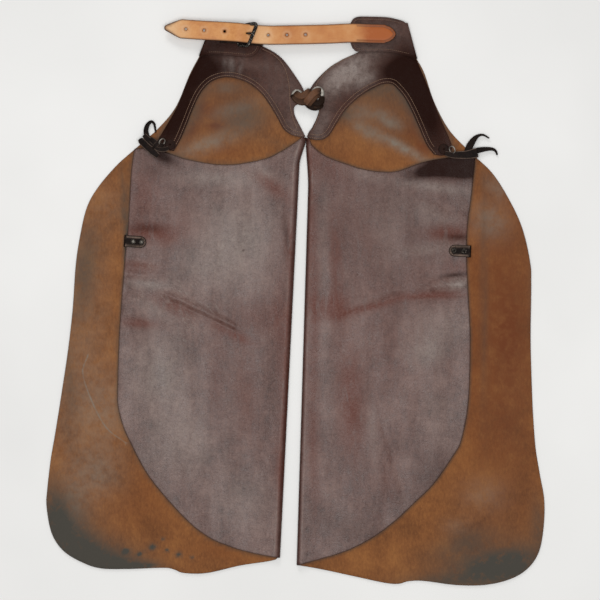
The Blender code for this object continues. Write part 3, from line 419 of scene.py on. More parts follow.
def inside(points, outline):
    """Which points lie inside a closed outline."""
    x, y = points[:, 0], points[:, 1]
    odd = np.zeros(len(points), bool)
    for (ax, ay), (bx, by) in zip(outline, np.roll(outline, -1, axis=0)):
        hit = (ay > y) != (by > y)
        if ay != by:
            odd[hit] ^= x[hit] < (bx - ax) * (y[hit] - ay) / (by - ay) + ax
    return odd


def distance(points, line, closed=False):
    """Distance of each point from a line of points, how far along it is, and the line's length."""
    ends = np.roll(line, -1, axis=0) if closed else line[1:]
    nearest = np.full(len(points), np.inf)
    along = np.zeros(len(points))
    run = 0.0
    for start, end in zip(line, ends):
        step = end - start
        length = math.hypot(*step)
        if length < 1e-6:
            continue
        share = np.clip(((points - start) @ step) / length ** 2, 0, 1)
        away = np.hypot(*(points - start - share[:, None] * step).T)
        closer = away < nearest
        nearest[closer] = away[closer]
        along[closer] = run + share[closer] * length
        run += length
    return nearest, along, run


def direction(line):
    """Unit vectors along a line of points."""
    run = np.gradient(line, axis=0)
    return run / np.linalg.norm(run, axis=1)[:, None]


def leftward(line):
    """Unit vectors on the plan to the left of a line's run."""
    run = direction(line)
    return np.column_stack([-run[:, 1], run[:, 0]])


def level(points):
    """No rise at all."""
    return np.zeros(len(points))


def round_outline(centre, radius, sides=28):
    """A circle as an outline."""
    turn = np.arange(sides) * 2 * math.pi / sides
    return np.array(centre, float) + radius * np.column_stack([np.cos(turn), np.sin(turn)])


def ripple(points, seed, wavelength):
    """A gentle irregular swell from -1 to 1, about one wavelength from crest to crest."""
    draw = np.random.default_rng(seed)
    total = np.zeros(len(points))
    for _ in range(7):
        angle = draw.uniform(0, 2 * math.pi)
        length = wavelength * draw.uniform(0.7, 1.5)
        way = np.array([math.cos(angle), math.sin(angle)]) * 2 * math.pi / length
        total += np.cos(points @ way + draw.uniform(0, 2 * math.pi))
    return total / 7 * 1.6


def single_corners(outline):
    """A closed outline without its doubled corners."""
    gaps = np.linalg.norm(outline - np.roll(outline, 1, axis=0), axis=1)
    return outline[gaps > SAME_CORNER]


class Fold:
    """A straight fold: where it lies, and how a flat pattern goes round it.

    A place on the pattern is (s, v). v runs along the fold. s is the distance from the fold on
    the lower layer, goes through the bend, and is below bend_end on the layer folded over.
    radius is the bend's, base the height of the lower layer, and the upper one comes down to
    rest_top over about settle beyond the bend.
    """

    def __init__(self, ends, toward, radius, base, settle, rest_top, shift=None, roll=None):
        start, end = np.array(ends, float)
        self.start = start
        self.along = (end - start) / np.linalg.norm(end - start)
        across = np.array([-self.along[1], self.along[0]])
        self.inward = across if across[0] * toward > 0 else -across
        self.radius = radius
        self.base = base
        self.settle = settle
        self.rest_top = rest_top
        self.shift = shift
        self.roll_width, self.roll_height = roll or (radius, radius)
        self.bend_end = radius - math.pi * radius

    def shift_at(self, v):
        """How far the fold line leans out from straight near one end."""
        if self.shift is None:
            return np.zeros_like(v)
        low, high, amount = self.shift
        return amount * smooth_step((v - low) / (high - low))

    def lower(self, points):
        """Pattern places of points on the lower layer, given on the plan."""
        away = np.atleast_2d(points) - self.start
        v = away @ self.along
        return np.column_stack([away @ self.inward + self.shift_at(v), v])

    def upper(self, points):
        """Pattern places of points on the layer folded over, given on the plan."""
        places = self.lower(points)
        places[:, 0] = self.radius + self.bend_end - places[:, 0]
        return places

    def on_plan(self, width, v):
        """Plan points at a distance from the fold line."""
        return self.start + np.outer(width - self.shift_at(v), self.inward) + np.outer(v, self.along)

    def place(self, flat, rise, swell):
        """Points in space of pattern places, on the outer face of the leather."""
        s, v = flat[:, 0], flat[:, 1]
        folded = v >= -GAP
        top = folded & (s <= self.bend_end)
        bend = folded & (s > self.bend_end) & (s < self.radius)
        width = s.copy()
        height = np.full(len(s), float(self.base))

        angle = (self.radius - s[bend]) / self.radius
        wide = np.where(angle < math.pi / 2, self.radius, self.roll_width)
        tall = np.where(angle < math.pi / 2, self.radius, self.roll_height)
        width[bend] = wide * (1 - np.sin(angle))
        height[bend] = self.base + self.radius - tall * np.cos(angle)

        beyond = self.bend_end - s[top]
        spare = self.roll_width - self.radius
        width[top] = self.radius + beyond + spare * (1 - smooth_step(beyond / (4 * self.roll_width)))
        crest = self.base + self.radius + self.roll_height
        fall = smooth_step(beyond / self.settle)
        height[top] = crest + (self.rest_top - crest) * fall
        plan = self.on_plan(width, v)
        height[top] += rise(plan[top]) * fall
        height[~top & ~bend] += swell(plan[~top & ~bend])
        return np.column_stack([plan, height])


# Meshes

def mesh_piece(name, points, faces, materials, face_slots=None, marks=None):
    """An object from points in millimetres, with smooth faces, its materials and its marks of wear, dirt,
    painted sheen and painted shade.
    """
    mesh = bpy.data.meshes.new(name)
    mesh.from_pydata((np.asarray(points) * MM).tolist(), [], faces)
    for material in materials:
        mesh.materials.append(material)
    if face_slots is not None:
        mesh.polygons.foreach_set("material_index", np.asarray(face_slots, np.int32))
    mesh.polygons.foreach_set("use_smooth", np.ones(len(mesh.polygons), bool))
    for mark, values in (marks or {}).items():
        layer = mesh.attributes.new(mark, "FLOAT", "POINT")
        layer.data.foreach_set("value", np.asarray(values, np.float32))
    mesh.update()
    piece = bpy.data.objects.new(name, mesh)
    bpy.context.scene.collection.objects.link(piece)
    return piece


def take_along(piece):
    """Let a piece move with the garment."""
    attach(piece, "root")


def stand_for(piece, node):
    """Let a piece stand for its CAD node, and move with the garment."""
    take_along(piece)
    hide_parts(node)


def marks_at(points, table):
    """Strength of each kind of mark (wear, dirt, painted sheen, painted shade) at points of the plan, from
    a table of soft oval marks.
    """
    result = {}
    for kind in (WORN, PALING_AND_SHEEN, DARKENING_AND_SHADE, CREASED):
        total = np.zeros(len(points))
        for x, y, long, wide, angle, strength in table.get(kind, ()):
            turn = math.radians(angle)
            away = points - (x, y)
            u = (away[:, 0] * math.cos(turn) + away[:, 1] * math.sin(turn)) / long
            w = (away[:, 1] * math.cos(turn) - away[:, 0] * math.sin(turn)) / wide
            total += strength * np.exp(-(u * u + w * w))
        result[kind] = total
    return result


def pattern_points(outline, holes, height, fold=None, rows=(), coarse=8.0, sag=0.03):
    """Points inside a flat pattern: close together where the leather is bent or creased."""
    fine = coarse / 4
    low, high = outline.min(0), outline.max(0)
    counts = np.ceil((high - low) / fine).astype(int)
    i, j = np.meshgrid(np.arange(counts[0]), np.arange(counts[1]), indexing="ij")
    grid = np.column_stack([low[0] + i.ravel() * fine, low[1] + j.ravel() * fine])
    z = height(grid).reshape(i.shape)

    def bend_over(reach):
        bend = np.zeros(z.shape)
        bend[reach:-reach] = np.abs(z[2 * reach:] + z[:-2 * reach] - 2 * z[reach:-reach])
        side = np.abs(z[:, 2 * reach:] + z[:, :-2 * reach] - 2 * z[:, reach:-reach])
        bend[:, reach:-reach] = np.maximum(bend[:, reach:-reach], side)
        return bend

    keep = (i % 4 == 0) & (j % 4 == 0)
    keep |= (i % 2 == 0) & (j % 2 == 0) & (bend_over(2) > sag)
    keep |= bend_over(1) > sag
    points = grid[keep.ravel()]
    if fold is not None:
        loose = (points[:, 0] > fold.radius + 1.5) | (points[:, 0] < fold.bend_end - 1.5)
        points = points[loose | (points[:, 1] < -GAP)]
        across = np.linspace(fold.bend_end, fold.radius, 13)
        along = np.arange(low[1] + 2, high[1] - 1, 5.0)
        bend = np.array([(s, v) for v in along for s in across])
        points = np.vstack([points, bend[bend[:, 1] > 1.0]])
    for line in rows:
        points = points[distance(points, line)[0] > 1.7]
    taken = {}
    for spot in np.vstack([np.zeros((0, 2)), *rows]):
        taken.setdefault((round(spot[0] / 1.5), round(spot[1] / 1.5)), spot)
    points = np.vstack([points, *[spot[None] for spot in taken.values()]])
    for loop in [outline] + list(holes):
        points = points[distance(points, loop, closed=True)[0] > 1.0]
    points = points[inside(points, outline)]
    for hole in holes:
        points = points[~inside(points, hole)]
    return points


def leather_sheet(name, outline, holes, inner, place, thickness, materials, marks_of,
                  round_edge=0.35):
    """A leather panel cut to a flat pattern: two skins, and a rounded cut edge between them."""
    loops = [outline] + list(holes)
    points = []
    edges = []
    for loop in loops:
        first = len(points)
        points += [Vector(p) for p in loop]
        edges += [(first + k, first + (k + 1) % len(loop)) for k in range(len(loop))]
    points += [Vector(p) for p in inner]
    flat, _, faces, _, _, _ = delaunay_2d_cdt(points, edges, [], 0, 1e-5)
    flat = np.array([tuple(p) for p in flat])
    faces = np.array(faces)
    middle = flat[faces].mean(1)
    wanted = inside(middle, outline)
    for hole in holes:
        wanted &= ~inside(middle, hole)
    faces = faces[wanted]
    used, faces = np.unique(faces, return_inverse=True)
    faces = faces.reshape(-1, 3)
    flat = flat[used]

    outer = place(flat)
    a, b, c = (outer[faces[:, k]] for k in range(3))
    across = np.cross(b - a, c - a)
    if across[np.argmin((a + b + c)[:, 2])][2] > 0:
        faces = faces[:, ::-1]
        across = -across
    normal = np.zeros_like(outer)
    for k in range(3):
        np.add.at(normal, faces[:, k], across)
    normal /= np.linalg.norm(normal, axis=1)[:, None]

    count = len(outer)
    directed = {(int(p), int(q)) for f in faces for p, q in ((f[0], f[1]), (f[1], f[2]), (f[2], f[0]))}
    after = {p: q for p, q in directed if (q, p) not in directed}
    skins = [outer, outer - normal * thickness]
    quads = []
    total = 2 * count
    source = [np.arange(count), np.arange(count)]
    while after:
        loop = [next(iter(sorted(after)))]
        while after.get(loop[-1]) is not None:
            loop.append(after.pop(loop[-1]))
        loop = np.array(loop[:-1])
        top, bottom = outer[loop], (outer - normal * thickness)[loop]
        run = np.roll(outer[loop], -1, axis=0) - np.roll(outer[loop], 1, axis=0)
        out = np.cross(run, normal[loop])
        out /= np.maximum(np.linalg.norm(out, axis=1)[:, None], 1e-9)
        rings = [loop]
        for depth, push in ((0.16, 0.72), (0.5, 1.0), (0.84, 0.72)):
            skins.append(top + (bottom - top) * depth + out * push * round_edge)
            source.append(loop)
            rings.append(np.arange(total, total + len(loop)))
            total += len(loop)
        rings.append(loop + count)
        for upper, lower in zip(rings, rings[1:]):
            quads.append(np.column_stack([np.roll(upper, -1), upper, lower, np.roll(lower, -1)]))
    points = np.vstack(skins)
    quads = np.vstack(quads)
    all_faces = faces.tolist() + (faces[:, ::-1] + count).tolist() + quads.tolist()
    slots = [0] * len(faces) + [1] * len(faces) + [2] * len(quads)
    grain, flesh = marks_of(flat, outer)
    marks = {}
    rim = np.concatenate(source[2:])
    for kind in grain:
        marks[kind] = np.concatenate([grain[kind], flesh[kind], flesh[kind][rim]])
    return mesh_piece(name, points, all_faces, materials, slots, marks)


def sweep(line, width, thickness, up=(0, 0, 1), sides=14, closed=False, square=0.7, ends=True):
    """Points and faces of a strand along a line: an oval section, and rounded ends."""
    line = np.array(line, float)
    count = len(line)
    width = np.broadcast_to(np.array(width, float), (count,)).copy()
    thickness = np.broadcast_to(np.array(thickness, float), (count,)).copy()
    if closed:
        run = np.roll(line, -1, axis=0) - np.roll(line, 1, axis=0)
        run /= np.linalg.norm(run, axis=1)[:, None]
    else:
        run = direction(line)
    side = np.cross(np.array(up, float), run)
    side /= np.linalg.norm(side, axis=1)[:, None]
    rise = np.cross(run, side)
    if not closed and ends:
        # Two smaller rings beyond each end round it off
        reach, sizes = np.array([0.92, 0.55]), np.array([0.45, 0.86])
        cap = 0.5 * np.minimum(width, thickness)
        line = np.vstack([line[0] - run[0] * cap[0] * reach[:, None], line,
                          line[-1] + run[-1] * cap[-1] * reach[::-1, None]])
        shrink = np.concatenate([sizes, np.ones(count), sizes[::-1]])
        width, thickness, side, rise = (np.concatenate([[values[0]] * 2, values, [values[-1]] * 2])
                                        for values in (width, thickness, side, rise))
        width, thickness = width * shrink, thickness * shrink
        count = len(line)
    turn = (np.arange(sides) + 0.5) * 2 * math.pi / sides
    round_x = np.sign(np.cos(turn)) * np.abs(np.cos(turn)) ** square
    round_y = np.sign(np.sin(turn)) * np.abs(np.sin(turn)) ** square
    points = (line[:, None] + side[:, None] * (round_x[None, :, None] * width[:, None, None] / 2)
              + rise[:, None] * (round_y[None, :, None] * thickness[:, None, None] / 2))
    faces = []
    for k in range(count if closed else count - 1):
        a, b = k * sides, ((k + 1) % count) * sides
        faces += [(a + m, a + (m + 1) % sides, b + (m + 1) % sides, b + m) for m in range(sides)]
    if not closed:
        faces.append(tuple(reversed(range(sides))))
        faces.append(tuple(range((count - 1) * sides, count * sides)))
    return points.reshape(-1, 3), faces


def turned(profile, centre, base, steps=48):
    """Points and faces of a round piece from a closed profile of (radius, height)."""
    profile = np.array(profile, float)
    turn = np.arange(steps) * 2 * math.pi / steps
    points = np.array([(centre[0] + r * math.cos(t), centre[1] + r * math.sin(t), base + z)
                       for t in turn for r, z in profile])
    size = len(profile)
    faces = []
    for k in range(steps):
        a, b = k * size, ((k + 1) % steps) * size
        faces += [(a + m, b + m, b + (m + 1) % size, a + (m + 1) % size) for m in range(size)]
    return points, faces


def joined(parts):
    """Several (points, faces) as one."""
    points = []
    faces = []
    first = 0
    for some, theirs in parts:
        points.append(some)
        faces += [tuple(first + k for k in face) for face in theirs]
        first += len(some)
    return np.vstack(points), faces


def inset_line(line, depth, toward):
    """A line moved sideways by a depth, to the side on which a given point lies."""
    side = leftward(line)
    moved = line + side * depth
    other = line - side * depth
    if inside(other, toward).sum() > inside(moved, toward).sum():
        moved = other
    clear = distance(moved, line)[0] > depth * 0.97
    return moved[clear & inside(moved, toward)]


def side_row(line, away):
    """A line moved sideways, to the left of its run for a positive distance."""
    moved = line + leftward(line) * away
    return moved[distance(moved, line)[0] > abs(away) * 0.95 - 1e-6]


def spaced(line, step):
    """Points at even distances along a line."""
    length = np.concatenate([[0], np.cumsum(np.linalg.norm(np.diff(line, axis=0), axis=1))])
    at = np.arange(step / 2, length[-1], step)
    return np.column_stack([np.interp(at, length, line[:, k]) for k in range(line.shape[1])])


def stitches(line, height_at, pitch, length, size):
    """A row of thread stitches along a line of the plan, lying on the leather."""
    # One stitch: share of its length from its middle, and rise as a share of the thread
    arc = ((-0.5, -0.35), (-0.3, 0.05), (0.0, 0.2), (0.3, 0.05), (0.5, -0.35))
    parts = []
    places = spaced(line, pitch)
    for at, way, z in zip(places, direction(places), height_at(places)):
        rows = [(*(at + way * length * share), z + rise * size) for share, rise in arc]
        parts.append(sweep(rows, size, size * 0.8, sides=6, square=1.0, ends=False))
    return parts


# Finishes

def colour(code):
    """Linear colour of an sRGB hex value."""
    values = [int(code[k:k + 2], 16) / 255 for k in (1, 3, 5)]
    return (*[v / 12.92 if v <= 0.04045 else ((v + 0.055) / 1.055) ** 2.4 for v in values], 1.0)


def add(tree, kind, inputs=None, stops=None, **settings):
    """Add a node to a material: its settings, and its inputs as values or as sockets to link."""
    made = tree.nodes.new("ShaderNode" + kind)
    for name, value in settings.items():
        setattr(made, name, value)
    for name, value in (inputs or {}).items():
        if isinstance(value, bpy.types.NodeSocket):
            tree.links.new(value, made.inputs[name])
        else:
            made.inputs[name].default_value = value
    if stops:
        ramp = made.color_ramp
        while len(ramp.elements) < len(stops):
            ramp.elements.new(0.5)
        for element, (position, value) in zip(ramp.elements, stops):
            element.position = position
            element.color = value
    return made


def new_material(name, roughness, metallic=0.0, **more):
    """An empty material with its shader: returns the material, its tree and its shader."""
    material = bpy.data.materials.new(name)
    material.use_nodes = True
    tree = material.node_tree
    shader = tree.nodes["Principled BSDF"]
    shader.inputs["Metallic"].default_value = metallic
    shader.inputs["Roughness"].default_value = roughness
    for socket, value in more.items():
        shader.inputs[socket.replace("_", " ")].default_value = value
    return material, tree, shader


def per_mm(size):
    """Texture scale for a pattern that repeats after a size in millimetres."""
    return 1000.0 / size


def patchy(tree, kind, noise, reach, ragged=3.0):
    """Share of one kind of mark: the mark on the leather, broken up by a noise."""
    mark = add(tree, "Attribute", attribute_name=kind).outputs["Fac"]
    broken = add(tree, "Math", {0: noise, 1: ragged * reach, 2: reach * (1 - 0.5 * ragged)},
                 operation="MULTIPLY_ADD", use_clamp=True).outputs[0]
    return add(tree, "Math", {0: mark, 1: broken}, operation="MULTIPLY", use_clamp=True).outputs[0]


def smooth_leather(name, deep, mid, light, worn, paling_and_sheen_tone, darkening_and_shade_tone, roughness, gloss=0.5, grain=0.35):
    """Oil-tanned cowhide, grain side out: waxed and worn smooth.

    The eye sees a plum-brown with rubbed red-brown patches and a fine pebbled grain. The grey where
    the wax catches the light is painted into the colour as a pale sheen, the dark where the leather
    tilts away from the light is painted as shade, and the fine wrinkle lines are painted pale as
    highlights.
    """
    material, tree, shader = new_material(name, roughness)
    where = add(tree, "TexCoord").outputs["Object"]
    cloudy = add(tree, "TexNoise", {"Vector": where, "Scale": per_mm(75), "Detail": 6.0,
                                    "Roughness": 0.6}).outputs[0]
    mottled = add(tree, "TexNoise", {"Vector": where, "Scale": per_mm(11), "Detail": 6.0,
                                     "Roughness": 0.72}).outputs[0]
    along = add(tree, "Mapping", {"Vector": where, "Scale": (1.0, 0.22, 1.0)}).outputs[0]
    streaks = add(tree, "TexNoise", {"Vector": along, "Scale": per_mm(7), "Detail": 5.0, "Roughness": 0.6,
                                     "Distortion": 0.5}).outputs[0]
    # Real pores are 0.3 to 0.5 mm apart: drawn 2.4 mm apart, so that they show
    pores = add(tree, "TexVoronoi", {"Vector": where, "Scale": per_mm(2.4)}).outputs["Distance"]
    pitted = add(tree, "MapRange", {"Value": pores, "From Min": 0.0, "From Max": 0.35, "To Min": 0.5,
                                    "To Max": 0.0}).outputs[0]
    # The grain breaks into fine wrinkles 1 to 2 mm apart: drawn 4 mm apart
    puckered = add(tree, "TexNoise", {"Vector": where, "Scale": per_mm(4), "Detail": 2.0, "Roughness": 0.8,
                                      "Distortion": 1.2}).outputs[0]
    # Wrinkle lines beside a crease are 1 to 2 mm apart: drawn 3.4 mm apart
    aslant = add(tree, "Mapping", {"Vector": where, "Rotation": (0, 0, math.radians(-50))}).outputs[0]
    drawn_out = add(tree, "Mapping", {"Vector": aslant, "Scale": (1.0, 0.3, 1.0)}).outputs[0]
    lines = add(tree, "TexNoise", {"Vector": drawn_out, "Scale": per_mm(3.4), "Detail": 2.0,
                                   "Roughness": 0.6, "Distortion": 0.6}).outputs[0]
    crisp = add(tree, "MapRange", {"Value": lines, "From Min": 0.5, "From Max": 0.68}).outputs[0]
    wrinkled = add(tree, "Math", {0: crisp, 1: patchy(tree, CREASED, mottled, 1.0)},
                   operation="MULTIPLY").outputs[0]
    # The wrinkle lines are painted pale in the sheen colour, as highlights
    wrinkle_highlight = add(tree, "Math", {0: wrinkled, 1: 0.3}, operation="MULTIPLY").outputs[0]
    rubbed = patchy(tree, WORN, streaks, 1.0)
    darkened_and_shaded = patchy(tree, DARKENING_AND_SHADE, cloudy, 1.0, 1.5)

    tones = [(0.39, colour(deep)), (0.5, colour(mid)), (0.61, colour(light))]
    base, streaked, flecked, crinkled = (add(tree, "ValToRGB", {0: noise}, stops=tones).outputs[0]
                                         for noise in (cloudy, streaks, mottled, puckered))
    # Over the cloudy base: streaks and flecks of tone, the painted sheen, red-brown wear, dark pores,
    # crinkles, dirt and painted shade, and the painted wrinkle highlights
    for share, over in ((0.30, streaked), (0.38, flecked),
                        (patchy(tree, PALING_AND_SHEEN, mottled, 0.6), colour(paling_and_sheen_tone)), (rubbed, colour(worn)),
                        (pitted, colour(deep)), (0.2, crinkled), (darkened_and_shaded, colour(darkening_and_shade_tone)),
                        (wrinkle_highlight, colour(paling_and_sheen_tone))):
        base = add(tree, "Mix", {0: share, 6: base, 7: over}, data_type="RGBA").outputs[2]
    tree.links.new(base, shader.inputs["Base Color"])

    # Wax shines on whole grain; it is gone where the grain is rubbed through or clogged
    gone = add(tree, "Math", {0: rubbed, 1: 0.5, 2: darkened_and_shaded}, operation="MULTIPLY_ADD",
               use_clamp=True).outputs[0]
    kept = add(tree, "MapRange", {"Value": gone, "To Min": gloss, "To Max": 0.18 * gloss}).outputs[0]
    waxed = add(tree, "TexNoise", {"Vector": along, "Scale": per_mm(34), "Detail": 6.0,
                                   "Roughness": 0.6}).outputs[0]
    patches = add(tree, "MapRange", {"Value": waxed, "From Min": 0.34, "From Max": 0.66, "To Min": 0.7,
                                     "To Max": 1.3}).outputs[0]
    shine = add(tree, "Math", {0: kept, 1: patches}, operation="MULTIPLY").outputs[0]
    tree.links.new(shine, shader.inputs["Specular IOR Level"])
    uneven = add(tree, "MapRange", {"Value": mottled, "From Min": 0.3, "From Max": 0.7,
                                    "To Min": roughness - 0.1, "To Max": roughness + 0.12}).outputs[0]
    tree.links.new(uneven, shader.inputs["Roughness"])

    relief = add(tree, "Bump", {"Height": pores, "Strength": grain, "Distance": 0.5 * MM}).outputs[0]
    for height, strength, depth in ((mottled, 0.55, 1.2), (puckered, 0.5, 1.0), (wrinkled, 0.5, 0.6),
                                    (streaks, 0.35, 0.8)):
        relief = add(tree, "Bump", {"Height": height, "Strength": strength, "Distance": depth * MM,
                                    "Normal": relief}).outputs[0]
    tree.links.new(relief, shader.inputs["Normal"])
    return material


def suede(name, deep, mid, light, worn, paling_and_sheen_tone, darkening_and_shade_tone):
    """Cowhide, flesh side out: brushed suede, rubbed and smudged.

    The eye sees a warm brown with no gloss, clouded by the lie of the nap, with slate-coloured dirt
    at the hem and greyish burnished smears; the dark bands along the edges of the pieces lying on it
    are painted shadow.
    """
    material, tree, shader = new_material(name, 0.92, Specular_IOR_Level=0.25, Sheen_Weight=0.12,
                                          Sheen_Roughness=0.5)
    shader.inputs["Sheen Tint"].default_value = colour("#d8b088")
    where = add(tree, "TexCoord").outputs["Object"]
    cloudy = add(tree, "TexNoise", {"Vector": where, "Scale": per_mm(85), "Detail": 7.0, "Roughness": 0.62,
                                    "Distortion": 0.3}).outputs[0]
    smudged = add(tree, "TexNoise", {"Vector": where, "Scale": per_mm(16), "Detail": 6.0,
                                     "Roughness": 0.7}).outputs[0]
    # The nap's fibres stand under 1 mm apart: drawn 3.2 mm apart, so that they show
    brushed = add(tree, "Mapping", {"Vector": where, "Scale": (1.0, 0.45, 1.0),
                                    "Rotation": (0, 0, 0.5)}).outputs[0]
    nap = add(tree, "TexNoise", {"Vector": brushed, "Scale": per_mm(3.2), "Detail": 4.0,
                                 "Roughness": 0.75}).outputs[0]
    tones = [(0.32, colour(deep)), (0.5, colour(mid)), (0.68, colour(light))]
    base, smeared, napped = (add(tree, "ValToRGB", {0: noise}, stops=tones).outputs[0]
                             for noise in (cloudy, smudged, nap))
    for share, over in ((0.22, smeared), (0.34, napped), (patchy(tree, WORN, smudged, 0.8), colour(worn)),
                        (patchy(tree, PALING_AND_SHEEN, smudged, 0.8), colour(paling_and_sheen_tone)),
                        (patchy(tree, DARKENING_AND_SHADE, smudged, 1.0, 2.0), colour(darkening_and_shade_tone))):
        base = add(tree, "Mix", {0: share, 6: base, 7: over}, data_type="RGBA").outputs[2]
    tree.links.new(base, shader.inputs["Base Color"])
    fuzz = add(tree, "Bump", {"Height": nap, "Strength": 0.5, "Distance": 0.5 * MM}).outputs[0]
    uneven = add(tree, "Bump", {"Height": smudged, "Strength": 0.3, "Distance": 0.8 * MM,
                                "Normal": fuzz}).outputs[0]
    tree.links.new(uneven, shader.inputs["Normal"])
    return material


def cut_edge(name, deep, light):
    """The cut edge of a hide, dyed and rubbed down: the eye sees dark, dull fibres."""
    material, tree, shader = new_material(name, 0.7, Specular_IOR_Level=0.3)
    where = add(tree, "TexCoord").outputs["Object"]
    # Fibre bundles are about 0.5 mm thick: drawn 5 mm apart, so that they show
    fibres = add(tree, "TexNoise", {"Vector": where, "Scale": per_mm(5), "Detail": 4.0}).outputs[0]
    tones = ((0.4, colour(deep)), (0.75, colour(light)))
    base = add(tree, "ValToRGB", {0: fibres}, stops=tones).outputs[0]
    tree.links.new(base, shader.inputs["Base Color"])
    rough = add(tree, "Bump", {"Height": fibres, "Strength": 0.4, "Distance": 0.3 * MM}).outputs[0]
    tree.links.new(rough, shader.inputs["Normal"])
    return material


def harness_leather():
    """Vegetable-tanned harness leather, natural tan, with a waxed top that has darkened in handling.

    The eye sees an even honey tan, redder where it has been bent and round the holes, with fine
    scratches along its length.
    """
    material, tree, shader = new_material("tan_harness_leather", 0.5, Specular_IOR_Level=0.35)
    where = add(tree, "TexCoord").outputs["Object"]
    cloudy = add(tree, "TexNoise", {"Vector": where, "Scale": per_mm(34), "Detail": 5.0,
                                    "Roughness": 0.6}).outputs[0]
    speckled = add(tree, "TexNoise", {"Vector": where, "Scale": per_mm(4), "Detail": 5.0,
                                      "Roughness": 0.7}).outputs[0]
    # Scratches are hair fine: drawn 1.6 mm apart, so that they show
    along = add(tree, "Mapping", {"Vector": where, "Scale": (0.06, 1.0, 1.0)}).outputs[0]
    scratched = add(tree, "TexNoise", {"Vector": along, "Scale": per_mm(1.6), "Detail": 3.0}).outputs[0]
    base = add(tree, "ValToRGB", {0: cloudy}, stops=(
        (0.3, colour("#b8743f")), (0.5, colour("#cf8f52")), (0.72, colour("#e0ad74")))).outputs[0]
    freckles = add(tree, "ValToRGB", {0: speckled}, stops=(
        (0.3, colour("#a8612f")), (0.7, colour("#ddab70")))).outputs[0]
    scored = add(tree, "ValToRGB", {0: scratched}, stops=(
        (0.58, (0, 0, 0, 1)), (0.75, (0.3, 0.3, 0.3, 1)))).outputs[0]
    for share, over in ((0.25, freckles), (scored, colour("#9c5728")),
                        (patchy(tree, WORN, speckled, 0.9, 1.0), colour("#a0500e")),
                        (patchy(tree, PALING_AND_SHEEN, speckled, 0.8, 1.0), colour("#dcb489")),
                        (patchy(tree, DARKENING_AND_SHADE, speckled, 1.0, 1.0), colour("#4a2a18"))):
        base = add(tree, "Mix", {0: share, 6: base, 7: over}, data_type="RGBA").outputs[2]
    tree.links.new(base, shader.inputs["Base Color"])
    fine = add(tree, "Bump", {"Height": speckled, "Strength": 0.25, "Distance": 0.4 * MM}).outputs[0]
    lined = add(tree, "Bump", {"Height": scratched, "Strength": 0.2, "Distance": 0.2 * MM,
                               "Normal": fine}).outputs[0]
    tree.links.new(lined, shader.inputs["Normal"])
    return material


def worn_metal(name, base_code, wear_code, roughness, metallic, grit):
    """A forged or stamped metal fitting: dull in its hollows, and rubbed bright in spots."""
    material, tree, shader = new_material(name, roughness, metallic)
    where = add(tree, "TexCoord").outputs["Object"]
    rubbed = add(tree, "TexNoise", {"Vector": where, "Scale": per_mm(grit), "Detail": 5.0,
                                    "Roughness": 0.7}).outputs[0]
    tones = ((0.5, colour(base_code)), (0.68, colour(wear_code)))
    base = add(tree, "ValToRGB", {0: rubbed}, stops=tones).outputs[0]
    tree.links.new(base, shader.inputs["Base Color"])
    uneven = add(tree, "MapRange", {"Value": rubbed, "To Min": roughness + 0.12,
                                    "To Max": roughness - 0.12}).outputs[0]
    tree.links.new(uneven, shader.inputs["Roughness"])
    pitted = add(tree, "Bump", {"Height": rubbed, "Strength": 0.2, "Distance": 0.2 * MM}).outputs[0]
    tree.links.new(pitted, shader.inputs["Normal"])
    return material


def waxed_thread(name, code):
    """Linen thread, twisted and drawn through wax: matt, with the twist of its plies."""
    material, tree, shader = new_material(name, 0.7, Specular_IOR_Level=0.3)
    where = add(tree, "TexCoord").outputs["Object"]
    # A ply turns every 1 mm: drawn every 2 mm, so that it shows
    plies = add(tree, "TexNoise", {"Vector": where, "Scale": per_mm(2.0), "Detail": 3.0}).outputs[0]
    base = add(tree, "Mix", {0: plies, 6: colour(code), 7: colour("#4a3022")}, data_type="RGBA").outputs[2]
    tree.links.new(base, shader.inputs["Base Color"])
    return material


def cotton_cloth():
    """White cotton sheet: dead matt, a plain weave that only just shows."""
    material, tree, shader = new_material("white_cotton", 0.95, Specular_IOR_Level=0.2)
    where = add(tree, "TexCoord").outputs["Object"]
    cloudy = add(tree, "TexNoise", {"Vector": where, "Scale": per_mm(400), "Detail": 3.0}).outputs[0]
    tones = ((0.3, colour("#e9e9e8")), (0.7, colour("#f1f1f0")))
    base = add(tree, "ValToRGB", {0: cloudy}, stops=tones).outputs[0]
    tree.links.new(base, shader.inputs["Base Color"])
    # Threads are 0.4 mm apart: drawn 2 mm apart, so that they show
    weave = add(tree, "TexNoise", {"Vector": where, "Scale": per_mm(2.0), "Detail": 2.0}).outputs[0]
    woven = add(tree, "Bump", {"Height": weave, "Strength": 0.08, "Distance": 0.3 * MM}).outputs[0]
    tree.links.new(woven, shader.inputs["Normal"])
    return material


# Oil-tanned cowhide, waxed and rolled smooth: plum-brown, with a grey sheen painted where the wax catches
# the light
chap_grain = smooth_leather("oiled_chap_leather_grain", "#3e2924", "#5f453f", "#7f6760", "#5f2f22",
                            "#968c85", "#24110c", 0.42, gloss=0.42)
# The flesh side of the same hide, buffed to a nap: warm brown, slate where dirt is rubbed in, and darkened
# by painted shadow along the edges of what lies on it
chap_suede = suede("chap_leather_suede", "#57351f", "#7e4f2c", "#9c6839", "#6c3718", "#7f7468", "#45423c")
hide_edge = cut_edge("dyed_hide_edge", "#1e120c", "#3c2418")
# Bridle leather, dyed through and glazed: a deep brown with a low, broad gloss, a sheen painted pale on it
# and shade painted dark at its hips
yoke_grain = smooth_leather("bridle_leather_yoke", "#2a1610", "#3c241d", "#523229", "#4c281d",
                            "#988c86", "#22100b", 0.38, gloss=0.13)
strap_grain = harness_leather()
# Edge paint on the strap: near black, dull where it has rubbed off the fibres
strap_edge = cut_edge("painted_strap_edge", "#1c100a", "#3a2216")
